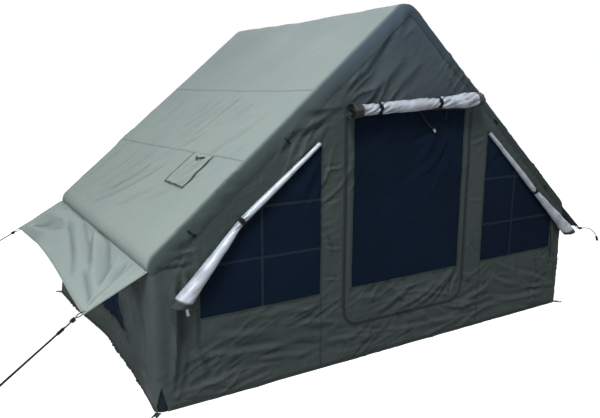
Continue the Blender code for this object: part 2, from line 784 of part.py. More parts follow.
def build_frame():
    for end, end_word in ((-1, "front"), (1, "back")):
        for side, word in ((-1, "left"), (1, "right")):
            foot, eave, ridge = arch_points(side, end * ARCH_Y)
            down = (foot - eave).normalized()
            up = (ridge - eave).normalized()
            mitre = (up - down).normalized()
            leg_cuts = [(foot, Vector((0.0, 0.0, -1.0))), (eave - mitre * FIT / 2, mitre)]
            leg = tube_mesh(f"{end_word}_leg_{word}", foot, eave, TUBE_RADIUS, leg_cuts)
            leg_part = add_part(f"{end_word}_leg_{word}", leg, "air_tube")
            middle = Vector((side * FIT / 2, ridge.y, ridge.z))
            crown = ridge + Vector((0.0, 0.0, TUBE_RADIUS))
            rafter_cuts = [
                (eave + mitre * FIT / 2, -mitre),
                (middle, Vector((-side, 0.0, 0.0))),
                (crown, Vector((0.0, 0.0, 1.0))),
            ]
            rafter = tube_mesh(f"{end_word}_rafter_{word}", eave, ridge, TUBE_RADIUS, rafter_cuts)
            add_part(f"{end_word}_rafter_{word}", rafter, "air_tube")
            if end_word == "front" and word == "left":
                boolean(leg_part, valve_seat_cutter())
    build_long_tube("ridge_tube", 0.0, RIDGE_TUBE_HEIGHT, (-1, 1), "rafter")
    build_long_tube("eave_tube_left", -EAVE_X, EAVE_TUBE_HEIGHT, (-1,), "elbow")
    build_long_tube("eave_tube_right", EAVE_X, EAVE_TUBE_HEIGHT, (1,), "elbow")


def build_long_tube(name, x, z, sides, joint):
    """A tube along the tent, saddle-cut where it meets the arches."""
    front = Vector((x, -ARCH_Y, z))
    back = Vector((x, ARCH_Y, z))
    ends = [(front, Vector((0.0, -1.0, 0.0))), (back, Vector((0.0, 1.0, 0.0)))]
    mesh = tube_mesh(name, front, back, LINK_RADIUS, ends, twist=FACET_TWIST)
    part = add_part(name, mesh, "air_tube")
    for end in (-1, 1):
        for side in sides:
            foot, eave, ridge = arch_points(side, end * ARCH_Y)
            runs = [(eave, ridge)] if joint == "rafter" else [(eave, ridge), (foot, eave)]
            for number, (start, stop) in enumerate(runs):
                label = f"{name}_saddle_{end}_{side}_{number}"
                saddle = tube_mesh(label, start, stop, SADDLE_RADIUS, [], SADDLE_SIDES)
                boolean(part, add_cutter(label, saddle))


def valve_place():
    """The middle of the valve's flat seat on the leg, and the way the valve points."""
    foot, eave, _ = arch_points(-1, -ARCH_Y)
    share = (VALVE_HEIGHT - foot.z) / (eave.z - foot.z)
    axis = foot.lerp(eave, share)
    return axis + Vector((TUBE_RADIUS - VALVE_SEAT_SINK, 0.0, 0.0))


def valve_seat_cutter():
    radius = VALVE_FLANGE_RADIUS + FIT
    mesh = cylinder_mesh("valve_seat", radius, OVERRUN, VALVE_SIDES)
    place = valve_place() + Vector((OVERRUN / 2, 0.0, 0.0))
    return add_cutter("valve_seat", mesh, location=place, rotation=(0.0, math.radians(90), 0.0))


def build_valve():
    seat = valve_place() + Vector((FIT, 0.0, 0.0))
    top = VALVE_FLANGE + VALVE_NECK
    profile = [
        (0.0, top),
        (VALVE_NECK_RADIUS, top),
        (VALVE_NECK_RADIUS, VALVE_FLANGE),
        (VALVE_FLANGE_RADIUS, VALVE_FLANGE),
        (VALVE_FLANGE_RADIUS, 0.0),
        (0.0, 0.0),
    ]
    turned_part("valve_body", profile, "black_plastic", seat, VALVE_SIDES)
    inner = VALVE_NECK_RADIUS + CAP_CLEARANCE
    outer = inner + CAP_WALL
    rim = VALVE_FLANGE + CAP_CLEARANCE
    ceiling = top + CAP_CLEARANCE
    crown = ceiling + CAP_WALL
    cap_profile = [
        (0.0, crown),
        (outer, crown),
        (outer, rim),
        (inner, rim),
        (inner, ceiling),
        (0.0, ceiling),
    ]
    cap = turned_part("valve_cap", cap_profile, "black_plastic", seat, VALVE_SIDES)
    grip = box_mesh("cap_grip", (CAP_GRIP_HEIGHT + CAP_WALL, CAP_GRIP_WIDTH, 2 * inner), FIT * 3)
    place = seat + Vector((crown + CAP_GRIP_HEIGHT / 2 - CAP_WALL / 2, 0.0, 0.0))
    boolean(cap, add_cutter("cap_grip", grip, location=place), "UNION")


@dataclass
class Flap:
    """An awning flap: the cloth that closes a side window, propped out along the eave."""

    side: int
    word: str
    droop: float

    def axis(self):
        return Vector((self.side * FLAP_AXIS_X, 0.0, SEAM_Z))

    def out(self):
        return Vector((self.side * math.cos(self.droop), 0.0, -math.sin(self.droop)))

    def up(self):
        return Vector((self.side * math.sin(self.droop), 0.0, math.cos(self.droop)))

    def reach(self, share):
        """From the hinge to the hollowed outer edge, at a share of the way from front to back."""
        skewed = share**FLAP_HOLLOW_SKEW
        return mix(FLAP_FRONT_REACH, FLAP_BACK_REACH, share) - FLAP_HOLLOW * 4 * skewed * (1 - skewed)

    def half_length(self, v):
        return GABLE_Y - mix(FLAP_HINGE_MARGIN, FLAP_TIP_MARGIN, v)

    def place(self, u, v):
        """The cloth's upper face; u runs from front to back and v from the hinge outwards."""
        reach = self.reach(u)
        y = mix(-self.half_length(v), self.half_length(v), u)
        bearing = math.atan2((1 - v) * FLAP_FRONT_REACH, u * TENT_DEPTH)
        folds = math.sin(bearing * 2 * FLAP_FOLDS) ** 2
        height = FLAP_FOLD * folds * math.sin(math.pi * v) * math.sin(math.pi * u) ** 0.5
        flat = self.axis() + self.out() * reach * v + self.up() * (height + FLAP_CLOTH / 2)
        return Vector((flat.x, y, flat.z))

    def eyelet(self, end):
        """The middle of a corner's eyelet, in the cloth's middle plane."""
        share = EYELET_INSET / TENT_DEPTH
        reach = self.reach(share if end < 0 else 1 - share) - EYELET_EDGE
        y = end * (self.half_length(1.0) - EYELET_INSET)
        flat = self.axis() + self.out() * reach
        return Vector((flat.x, y, flat.z))

    def hook_centre(self, end):
        """The rope pulls the link against the outer side of the eyelet."""
        rim = EYELET_RADIUS * math.cos(math.pi / EYELET_SIDES) - HOOK_WIRE - HOOK_SLACK
        return self.eyelet(end) + self.out() * (HOOK_HALF_LENGTH + rim)

    def rope_start(self, end, to):
        """Where a rope that runs to that point leaves the link."""
        link_end = self.hook_centre(end) + self.out() * HOOK_HALF_LENGTH
        return link_end + (to - link_end).normalized() * (HOOK_WIRE + FIT)


LEFT_FLAP = Flap(-1, "left", LEFT_FLAP_DROOP)
RIGHT_FLAP = Flap(1, "right", RIGHT_FLAP_DROOP)
FRONT_END = -1
BACK_END = 1


def build_flap(flap):
    def place(u, v):
        return flap.place(1 - u if flap.side > 0 else u, v)

    name = f"awning_flap_{flap.word}"
    part = shaped_sheet(
        name, FLAP_COLUMNS, FLAP_ROWS, place, FLAP_CLOTH, "roof_cloth", origin=flap.axis()
    )
    for end in (FRONT_END, BACK_END):
        label = f"eyelet_{flap.word}_{end}"
        hole = cylinder_mesh(label, EYELET_RADIUS, TUBE_RADIUS, EYELET_SIDES)
        cutter = add_cutter(label, hole, location=flap.eyelet(end))
        cutter.rotation_euler = (0.0, flap.side * flap.droop, 0.0)
        boolean(part, cutter)


def build_hook(name, flap, end):
    """An oval link through the corner eyelet, upright across the flap, which the guy rope is tied to."""
    path = []
    for i in range(TUBE_SIDES):
        angle = 2 * math.pi * i / TUBE_SIDES
        along = flap.out() * HOOK_HALF_LENGTH * math.cos(angle)
        path.append(along + flap.up() * HOOK_HALF_WIDTH * math.sin(angle))
    mesh = curve_mesh(wire_curve(name, path, HOOK_WIRE, closed=True), name)
    add_part(name, mesh, "black_plastic", location=flap.hook_centre(end))


def smooth_path(points, spacing):
    """Points at an even spacing along a smooth curve through the given ones."""
    padded = [2 * points[0] - points[1]] + list(points) + [2 * points[-1] - points[-2]]
    fine = []
    for a, b, c, d in zip(padded, padded[1:], padded[2:], padded[3:]):
        for i in range(TUBE_SIDES):
            t = i / TUBE_SIDES
            curved = (2 * a - 5 * b + 4 * c - d) * t**2 + (3 * b - a - 3 * c + d) * t**3
            fine.append((2 * b + (c - a) * t + curved) / 2)
    fine.append(points[-1])
    length = sum((b - a).length for a, b in zip(fine, fine[1:]))
    count = max(2, round(length / spacing))
    kept = [fine[0]]
    walked = 0.0
    for a, b in zip(fine, fine[1:]):
        step = (b - a).length
        while len(kept) < count and walked + step >= length * len(kept) / count:
            kept.append(a.lerp(b, (length * len(kept) / count - walked) / step))
        walked += step
    kept.append(fine[-1])
    return kept


def peg_loop(tip, way, across):
    """The rope's turn round its ground peg, from one strand to the other, its far point at the tip."""
    radius = PEG_LOOP_HALF_WIDTH
    middle = tip - way * radius
    turn = []
    for i in range(PEG_LOOP_STEPS + 1):
        angle = math.pi * (i / PEG_LOOP_STEPS - 0.5)
        turn.append(middle + way * radius * math.cos(angle) + across * radius * math.sin(angle))
    return turn


def strand(start, end):
    return [start.lerp(end, i / ROPE_STEPS) for i in range(ROPE_STEPS)]


def build_taut_rope(name, end, peg, distance):
    """A rope doubled round its ground peg: down from the hook, and back up to that distance from it."""
    tip = peg + Vector((0.0, 0.0, ROPE_RADIUS + FIT))
    start = LEFT_FLAP.rope_start(end, tip)
    way = (tip - start).normalized()
    across = way.cross(Vector((0.0, 0.0, 1.0))).normalized()
    offset = across * RUNNER_STRAND_OFFSET
    runner = start + way * distance
    top = runner - way * RUNNER_LENGTH / 2
    bottom = runner + way * RUNNER_LENGTH / 2
    turn = peg_loop(tip, way, across)
    down = [start, top - offset, *strand(bottom - offset, turn[0])]
    back = [*strand(turn[-1], bottom + offset), bottom + offset, top + offset - way * ROPE_STUB]
    add_part(name, wire_curve(name, down + turn[:-1] + back, ROPE_RADIUS), "rope")
    return runner, way


def build_runner(name, centre, way, offsets):
    """A rope runner: a small block that grips the rope, which passes through its bores."""
    across = way.cross(Vector((0.0, 0.0, 1.0))).normalized()
    turn = Matrix((across, way.cross(across), way)).transposed().to_euler()
    block = box_mesh(name, (RUNNER_WIDTH, RUNNER_DEPTH, RUNNER_LENGTH), RUNNER_BEVEL)
    part = add_part(name, block, "black_plastic", location=centre, rotation=turn)
    for number, offset in enumerate(offsets):
        label = f"{name}_bore_{number}"
        bore = cylinder_mesh(label, ROPE_RADIUS + RUNNER_BORE_GAP, 2 * RUNNER_LENGTH, VALVE_SIDES // 2)
        boolean(part, add_cutter(label, bore, location=centre + across * offset, rotation=turn))


def build_guys():
    build_hook("guy_hook_left_front", LEFT_FLAP, FRONT_END)
    build_hook("guy_hook_left_back", LEFT_FLAP, BACK_END)
    build_hook("guy_hook_right_front", RIGHT_FLAP, FRONT_END)
    both = (-RUNNER_STRAND_OFFSET, RUNNER_STRAND_OFFSET)
    runner, way = build_taut_rope("guy_rope_left_front", FRONT_END, LEFT_FRONT_PEG, RUNNER_DISTANCE)
    build_runner("rope_runner_left_front", runner, way, both)
    build_taut_rope("guy_rope_left_back", BACK_END, LEFT_BACK_PEG, TIE_DISTANCE)
    drop = (RIGHT_BOW_END - RIGHT_BOW[-1]).normalized()
    start = RIGHT_FLAP.rope_start(FRONT_END, RIGHT_BOW[0])
    bow = smooth_path([start, *RIGHT_BOW], RUNNER_LENGTH / 3)
    path = bow + [RIGHT_BOW_END + drop * ROPE_STUB]
    add_part("guy_rope_right_front", wire_curve("guy_rope_right_front", path, ROPE_RADIUS), "rope")
    build_runner("rope_runner_right_front", RIGHT_BOW_END - drop * RUNNER_LENGTH / 2, drop, (0.0,))


@dataclass
class Roll:
    """A cover wound up in a spiral, its inner side outwards, along a straight line in front of the gable."""

    word: str
    start: Vector
    knee: Vector
    end: Vector
    radii: tuple
    core_share: float
    turns: int
    waves: int
    stations: int

    def columns(self):
        return self.turns * ROLL_STEPS_PER_TURN

    def radius(self, v):
        """The roll's radius at a share of its length, from the evenly spaced radii."""
        place = v * (len(self.radii) - 1)
        low = min(int(place), len(self.radii) - 2)
        t = place - low
        return mix(self.radii[low], self.radii[low + 1], t * t * (3 - 2 * t))

    def frame(self):
        """The roll's direction, the way up across it in the gable's plane, and the way out."""
        along = (self.end - self.start).normalized()
        out = Vector((0.0, -1.0, 0.0))
        up = out.cross(along)
        return along, up if up.z > 0 else -up, out

    def knee_share(self):
        first = (self.knee - self.start).length
        return first / (first + (self.end - self.knee).length)

    def centre(self, v):
        """The roll bends at its knee, and rests against the gable along its whole length."""
        knee_share = self.knee_share()
        if v < knee_share:
            place = self.start.lerp(self.knee, v / knee_share)
        else:
            place = self.knee.lerp(self.end, (v - knee_share) / (1 - knee_share))
        return place + Vector((0.0, ROLL_FACE_Y - self.radius(v), 0.0))

    def wound(self, turn_share, v, lift=0.0):
        """A point of the winding: turn_share runs from the core (0) to the outer end at the gable (1)."""
        along, up, out = self.frame()
        angle = (1 - turn_share) * self.turns * 2 * math.pi
        ripple = 1 - ROLL_RIPPLE_SHARE * (1 - math.cos(self.waves * 2 * math.pi * v + angle)) / 2
        spread = mix(self.core_share, 1.0, turn_share) * self.radius(v) * ripple + lift
        return self.centre(v) + (up * math.sin(angle) - out * math.cos(angle)) * spread

    def beside(self, turn_share, v, lift):
        """A point that far outside the winding's own facets."""
        low = min(int(v * self.stations), self.stations - 1)
        near = self.wound(turn_share, low / self.stations, lift)
        far = self.wound(turn_share, (low + 1) / self.stations, lift)
        return near.lerp(far, v * self.stations - low)

    def least_gap(self):
        """The least gap between two turns of the cloth, measured on the winding's points."""
        turn = 1 / self.turns
        gaps = []
        for i in range(self.columns() + 1):
            share = i / self.columns()
            if share + turn <= 1:
                for j in range(self.stations + 1):
                    v = j / self.stations
                    apart = self.wound(share + turn, v) - self.wound(share, v)
                    gaps.append(apart.length - ROLL_CLOTH)
        return min(gaps)


def radii(largest, shares):
    return tuple(largest * share for share in shares)


def door_roll_point(across, rise):
    return Vector((across, 0.0, PEAK_SEAM_HEIGHT + rise))


def window_roll_points(side, shifts, rises):
    """Start, knee and end of a window's roll, measured from the window's raked upper edge."""
    corner = Vector((FRONT_OFFSET + side * WINDOW_INNER, 0.0, WINDOW_TOP))
    shoulder = Vector((FRONT_OFFSET + side * WINDOW_OUTER, 0.0, WINDOW_SHOULDER))
    on_edge = (corner, corner.lerp(shoulder, WINDOW_ROLL_KNEE_SHARE), shoulder)
    return [place + Vector((side * a, 0.0, b)) for place, a, b in zip(on_edge, shifts, rises)]


DOOR_ROLL = Roll(
    "door_cover_roll",
    door_roll_point(FRONT_OFFSET - DOOR_HALF_WIDTH + DOOR_ROLL_START_INSET, -DOOR_ROLL_START_DROP),
    door_roll_point(FRONT_OFFSET + DOOR_ROLL_KNEE_SHIFT, DOOR_ROLL_KNEE_RISE),
    door_roll_point(FRONT_OFFSET + DOOR_HALF_WIDTH + DOOR_ROLL_END_REACH, DOOR_ROLL_END_RISE),
    radii(DOOR_ROLL_RADIUS, DOOR_ROLL_RADIUS_SHARES),
    DOOR_ROLL_CORE_SHARE,
    3,
    3,
    17,
)
LEFT_ROLL = Roll(
    "window_cover_roll_left",
    *window_roll_points(
        -1,
        (LEFT_ROLL_START_SHIFT, 0.0, LEFT_ROLL_END_REACH),
        (LEFT_ROLL_START_RISE, LEFT_ROLL_KNEE_RISE, -LEFT_ROLL_END_DROP),
    ),
    radii(WINDOW_ROLL_RADIUS, WINDOW_ROLL_RADIUS_SHARES),
    WINDOW_ROLL_CORE_SHARE,
    2,
    2,
    14,
)
RIGHT_ROLL = Roll(
    "window_cover_roll_right",
    *window_roll_points(
        1,
        (RIGHT_ROLL_START_SHIFT, 0.0, RIGHT_ROLL_END_REACH),
        (RIGHT_ROLL_START_RISE, RIGHT_ROLL_KNEE_RISE, -RIGHT_ROLL_END_DROP),
    ),
    radii(WINDOW_ROLL_RADIUS, WINDOW_ROLL_RADIUS_SHARES),
    WINDOW_ROLL_CORE_SHARE,
    2,
    2,
    14,
)


def build_roll(roll):
    columns = roll.columns()
    shaped_sheet(
        roll.word, columns, roll.stations, roll.wound, ROLL_CLOTH, "silver_cloth", offset=0.0
    )
    print(f"{roll.word}: least gap between turns {roll.least_gap() * 1000:.2f} mm")


def build_strap(name, roll, share):
    """A tie round the roll's waist, open where the cover's own cloth leaves the roll."""
    half = STRAP_WIDTH / 2 / (roll.end - roll.start).length
    lift = ROLL_CLOTH / 2 + 3 * FIT + STRAP_CLOTH / 2
    columns = roll.columns()
    outermost = columns - STRAP_FREE_STEPS

    def place(u, v):
        turn_share = mix(outermost - STRAP_STEPS, outermost, u) / columns
        return roll.beside(turn_share, mix(share - half, share + half, v), lift)

    shaped_sheet(name, STRAP_STEPS, 1, place, STRAP_CLOTH, "strap", offset=0.0)


def build_rolls():
    build_roll(DOOR_ROLL)
    build_roll(LEFT_ROLL)
    build_roll(RIGHT_ROLL)
    build_strap("door_roll_strap_left", DOOR_ROLL, DOOR_STRAP_SHARES[0])
    build_strap("door_roll_strap_right", DOOR_ROLL, DOOR_STRAP_SHARES[1])
    build_strap("window_roll_strap_left", LEFT_ROLL, LEFT_ROLL.knee_share())
    build_strap("window_roll_strap_right", RIGHT_ROLL, RIGHT_ROLL.knee_share())


def build_port_cover():
    """The flap over the flue port, hinged on its upper edge and lying on the left roof slope."""
    down = Vector((-math.cos(ROOF_SLOPE), 0.0, -math.sin(ROOF_SLOPE)))
    out = Vector((-math.sin(ROOF_SLOPE), 0.0, math.cos(ROOF_SLOPE)))
    ridge = Vector((-RIDGE_FLAT, 0.0, RIDGE_TUBE_HEIGHT)) + out * SKIN_RADIUS
    hinge = ridge + down * PORT_TOP + out * (PORT_GAP + PORT_CLOTH / 2) + Vector((0.0, PORT_Y, 0.0))
    half = PORT_WIDTH / 2
    quarter = math.radians(90)
    corner = PORT_CORNER
    low = PORT_HEIGHT
    outline = [(0.0, -half)]
    outline += arc((low - corner, -half + corner), corner, -quarter, 0.0, 3)
    outline += arc((low - corner, half - corner), corner, 0.0, quarter, 3)
    outline += [(0.0, half)]
    mesh = plate_mesh("roof_port_cover", [outline], PORT_CLOTH)
    part = add_part("roof_port_cover", mesh, "roof_cloth")
    across = out.cross(down)
    turn = Matrix((down, across, out)).transposed()
    part.location = hinge
    part.rotation_euler = turn.to_euler()


def build_peg_tabs():
    """Webbing tabs on the ground at the four corners, with a round hole for the peg."""
    diagonal = math.radians(45)
    for end, end_word in ((-1, "front"), (1, "back")):
        for side, word in ((-1, "left"), (1, "right")):
            edge = WALL_EDGE * (1 - math.cos(diagonal))
            corner = Vector((side * (TENT_WIDTH / 2 - edge), end * (GABLE_Y - edge), TAB_CLOTH / 2))
            away = Vector((side * math.cos(diagonal), end * math.sin(diagonal), 0.0))
            half = TAB_WIDTH / 2
            round_end = arc((TAB_LENGTH - half, 0.0), half, -2 * diagonal, 2 * diagonal, CORNER_STEPS)
            outline = [(FIT, -half)] + round_end + [(FIT, half)]
            hole_x = TAB_LENGTH - TAB_HOLE_FROM_END
            hole = arc((hole_x, 0.0), TAB_HOLE_RADIUS, 0.0, 2 * math.pi, TAB_HOLE_SIDES)[:-1]
            mesh = plate_mesh(f"peg_tab_{end_word}_{word}", [outline, hole], TAB_CLOTH)
            part = add_part(f"peg_tab_{end_word}_{word}", mesh, "strap", location=corner)
            part.rotation_euler = (0.0, 0.0, math.atan2(away.y, away.x))


def main():
    clear_scene()
    build_roof()
    build_walls()
    build_gables()
    build_front_windows()
    build_door()
    build_zip()
    build_groundsheet()
    build_frame()
    build_valve()
    build_flap(LEFT_FLAP)
    build_flap(RIGHT_FLAP)
    build_guys()
    build_rolls()
    build_port_cover()
    build_peg_tabs()


main()
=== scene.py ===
"""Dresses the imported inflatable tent: sewn cloth with its folds, mesh panes, rolled covers, ropes and a studio.

Everything is in metres in the tent's own frame: +Z up, and the gable with the door faces -Y.
"""

import logging
import math
import random
from collections.abc import Callable, Sequence
from dataclasses import dataclass
from enum import Enum, IntEnum

import bmesh
import bpy
import numpy as np
from mathutils import Matrix, Vector, noise


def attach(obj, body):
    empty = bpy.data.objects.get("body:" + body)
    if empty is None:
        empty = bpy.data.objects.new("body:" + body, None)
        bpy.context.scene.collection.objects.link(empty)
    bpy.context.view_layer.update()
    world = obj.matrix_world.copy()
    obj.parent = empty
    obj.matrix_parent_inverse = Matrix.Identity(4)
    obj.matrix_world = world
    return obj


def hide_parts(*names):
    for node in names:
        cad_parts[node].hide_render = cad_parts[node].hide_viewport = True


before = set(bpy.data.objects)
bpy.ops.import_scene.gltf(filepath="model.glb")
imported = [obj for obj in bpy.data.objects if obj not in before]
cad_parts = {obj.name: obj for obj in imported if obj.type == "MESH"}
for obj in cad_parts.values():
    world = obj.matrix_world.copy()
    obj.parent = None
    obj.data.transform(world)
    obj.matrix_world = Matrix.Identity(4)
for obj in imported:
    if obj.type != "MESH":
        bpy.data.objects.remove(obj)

LOG = logging.getLogger("tent")
Pair = tuple[float, float]
Colour = tuple[float, float, float]
Values = float | np.ndarray
Place = tuple[float, float, float]
Socket = bpy.types.NodeSocket
Fed = float | Socket
# Painted shade where a roof turns down over its gable edges and eave goes by this mark.
PAINTED_TURN_SHADE_MARK = "roof_turn_painted_shade"
# Painted shade in the cloth's folds goes by this mark.
PAINTED_FOLD_SHADE_MARK = "painted_fold_shade"
END_MARK = "dark_end"
BUCKLE_THICKNESS = 0.0026
BUCKLE_ROUNDING = 0.0005
SEAM_SLACK = 0.0006
HEM_HEIGHT = 0.014
HEM_WIDTH = 0.022
HEM_REACH = 1.44
TAPE_LIFT = 0.0011
TAPE_THICKNESS = 0.0009
NET_LIFT = -0.0014
NET_THICKNESS = 0.0005


class Way(IntEnum):
    """A sign along one of the tent's axes."""

    @property
    def word(self) -> str:
        """The sign's word in piece names."""
        return self.name.lower()


class Side(Way):
    """The tent's two long sides, as signs along X."""

    LEFT = -1
    RIGHT = 1


class End(Way):
    """The tent's two gables, as signs along Y."""

    FRONT = -1
    BACK = 1


class Body(str, Enum):
    """The bodies that pieces ride on."""

    TENT = "tent"
    DOOR = "door_leaf"
    PORT = "port_cover"
    AWNING_LEFT = "awning_left"
    AWNING_RIGHT = "awning_right"


@dataclass(frozen=True)
class TentSizes:
    """The tent's own sizes, as its solids have them."""

    width: float = 3.02
    depth: float = 2.1
    ridge: float = 2.0
    eave_width: float = 3.03
    eave_tube_height: float = 0.72
    tube_radius: float = 0.075
    link_radius: float = 0.07
    tube_clearance: float = 0.01
    leg_clearance: float = 0.013
    wall: float = 0.003
    ridge_flat: float = 0.012
    rafter_edge: float = 0.065
    wall_edge: float = 0.045
    seam_margin: float = 0.012
    eave_tuck: float = math.radians(6)
    foot_waist: float = 0.035
    front_offset: float = 0.045
    window_inner: float = 0.616
    window_outer: float = 1.321
    sill: float = 0.436
    rake_band: float = 0.2563
    peak_seam: float = 1.43
    door_half: float = 0.46
    door_bottom: float = 0.215
    door_corner: float = 0.1
    door_border: float = 0.045

    @property
    def skin_radius(self) -> float:
        """From a tube's axis to the skin's outer face."""
        return self.tube_radius + self.tube_clearance + self.wall

    @property
    def eave_x(self) -> float:
        """The eave tube's distance from the middle."""
        return self.eave_width / 2 - self.skin_radius

    @property
    def ridge_tube_height(self) -> float:
        """The ridge tube's axis height."""
        return self.ridge - self.skin_radius

    @property
    def rise(self) -> float:
        """From the eave tube's axis up to the ridge tube's."""
        return self.ridge_tube_height - self.eave_tube_height

    @property
    def slope(self) -> float:
        """The roof's angle from level."""
        return math.atan2(self.rise, self.eave_x - self.ridge_flat)

    @property
    def slope_length(self) -> float:
        """The straight part of the roof, from the ridge arc to the eave arc."""
        return math.hypot(self.rise, self.eave_x - self.ridge_flat)

    @property
    def gable_y(self) -> float:
        """The gables' distance from the middle."""
        return self.depth / 2

    @property
    def arch_y(self) -> float:
        """The gable arches' distance from the middle."""
        return self.gable_y - self.skin_radius

    @property
    def leg_x(self) -> float:
        """The foot of a leg tube."""
        return self.width / 2 - self.wall - self.leg_clearance - self.tube_radius

    @property
    def seam_x(self) -> float:
        """The eave seam's distance from the middle."""
        return self.eave_x + self.skin_radius * math.cos(self.eave_tuck)

    @property
    def seam_z(self) -> float:
        """The eave seam's height."""
        return self.eave_tube_height - self.skin_radius * math.sin(self.eave_tuck)

    @property
    def window_top(self) -> float:
        """The upper corner of a gable window."""
        plane = self.ridge_tube_height + self.skin_radius / math.cos(self.slope)
        return plane + math.tan(self.slope) * (self.ridge_flat - self.window_inner) - self.rake_band

    @property
    def window_shoulder(self) -> float:
        """The outer, lower end of a gable window's raked edge."""
        return self.window_top - math.tan(self.slope) * (self.window_outer - self.window_inner)


TENT = TentSizes()


def blend_values(a: Values, b: Values, share: Values) -> Values:
    """A value between a, at share 0, and b."""
    return a + (b - a) * share


def smooth_step(values: Values, low: float, high: float) -> Values:
    """A soft step from 0 at low to 1 at high."""
    t = np.clip((values - low) / (high - low), 0.0, 1.0)
    return t * t * (3 - 2 * t)


def bell(values: Values, width: float) -> Values:
    """A soft hump: 1 at 0, and near 0 beyond twice the width."""
    return np.exp(-((values / width) ** 2))


def rolling(points: np.ndarray, scale: Sequence[float], seed: float) -> np.ndarray:
    """Smooth noise of about -1 to 1 over places in space, of the given size along each axis."""
    moved = points / np.array(scale) + seed
    return np.array([noise.noise(place) for place in moved.tolist()])


@dataclass(frozen=True)
class Crease:
    """A fold line in a cloth's flat plane: a rounded ridge with a soft valley beside it."""

    start: Pair
    end: Pair
    width: float
    height: float
    bow: float = 0.0


def fold_lines(*rows: Sequence[float]) -> tuple[Crease, ...]:
    """Creases from rows of start, end, width, height and bow, all in millimetres."""
    metres = ([value / 1000 for value in row] for row in rows)
    return tuple(Crease((a, b), (c, d), *sizes) for a, b, c, d, *sizes in metres)


def creased(flat: np.ndarray, creases: Sequence[Crease]) -> np.ndarray:
    """How far a cloth's creases lift it.

    Args:
        flat: Places in the cloth's plane, one row each.
        creases: The fold lines.

    Returns:
        The lift at each place.
    """
    lifted = np.zeros(len(flat))
    for crease in creases:
        start = np.array(crease.start)
        run = np.array(crease.end) - start
        length = float(np.hypot(*run))
        away = flat - start
        along = np.clip(away @ run / length**2, 0.0, 1.0)
        across = (away[:, 1] * run[0] - away[:, 0] * run[1]) / length
        across = (across - crease.bow * 4 * along * (1 - along)) / crease.width
        ridge = np.exp(-1.15 * np.abs(across) ** 1.35) - 0.6 * bell(across - 1.5, 1.1)
        lifted += crease.height * np.sin(np.pi * along) ** 0.7 * ridge
    return lifted


@dataclass(frozen=True)
class Wrinkles:
    """Connected sharp-edged wrinkles all over a cloth, stronger in some patches than in others."""

    heading: float
    length: float
    apart: float
    seed: float
    height: float = 1.0

    def lift(self, flat: np.ndarray, shift: float = 0.0) -> np.ndarray:
        """How far they lift a cloth.

        Args:
            flat: Places in the cloth's plane, one row each.
            shift: What is added to the seed for another pattern.

        Returns:
            The lift at each place, the full height on the sharpest ridges.
        """
        seed = self.seed + shift
        turn = math.radians(self.heading)
        spots = np.pad(flat, ((0, 0), (0, 1)))
        bend = rolling(spots, (0.3, 0.3, 1.0), seed)
        along = flat @ np.array([math.cos(turn), math.sin(turn)]) / self.length + 0.4 * bend
        across = flat @ np.array([-math.sin(turn), math.cos(turn)]) / self.apart + 1.1 * bend
        lines = np.abs(rolling(np.stack([along, across, 0 * along], axis=1), (1.0, 1.0, 1.0), seed + 5))
        patches = smooth_step(rolling(spots, (0.42, 0.3, 1.0), seed + 9), -0.25, 0.45)
        return np.clip(1 - 2.6 * lines, 0.0, 1.0) ** 2 * patches * self.height


def scattered(
    seed: int, count: int, box: tuple[Pair, Pair], heading: float, spread: float, lengths: Pair, width: float,
    height: float,
) -> list[Crease]:
    """Creases strewn over an area, the same ones each run.

    Args:
        seed: The random seed.
        count: How many creases.
        box: Low and high corner of the area of their middles.
        heading: Their mean direction, in degrees.
        spread: How far a direction departs from it, in degrees.
        lengths: Shortest and longest crease.
        width: A typical half width.
        height: A typical height.

    Returns:
        The creases.
    """
    draw = random.Random(seed)
    made = []
    for _ in range(count):
        x, y = (draw.uniform(low, high) for low, high in zip(*box))
        angle = math.radians(draw.gauss(heading, spread))
        half = draw.uniform(*lengths) / 2
        dx, dy = math.cos(angle) * half, math.sin(angle) * half
        sizes = (width * draw.uniform(0.6, 1.5), height * draw.uniform(0.4, 1.3) * draw.choice((-1, 1)))
        made.append(Crease((x - dx, y - dy), (x + dx, y + dy), *sizes, draw.gauss(0.0, half / 12)))
    return made


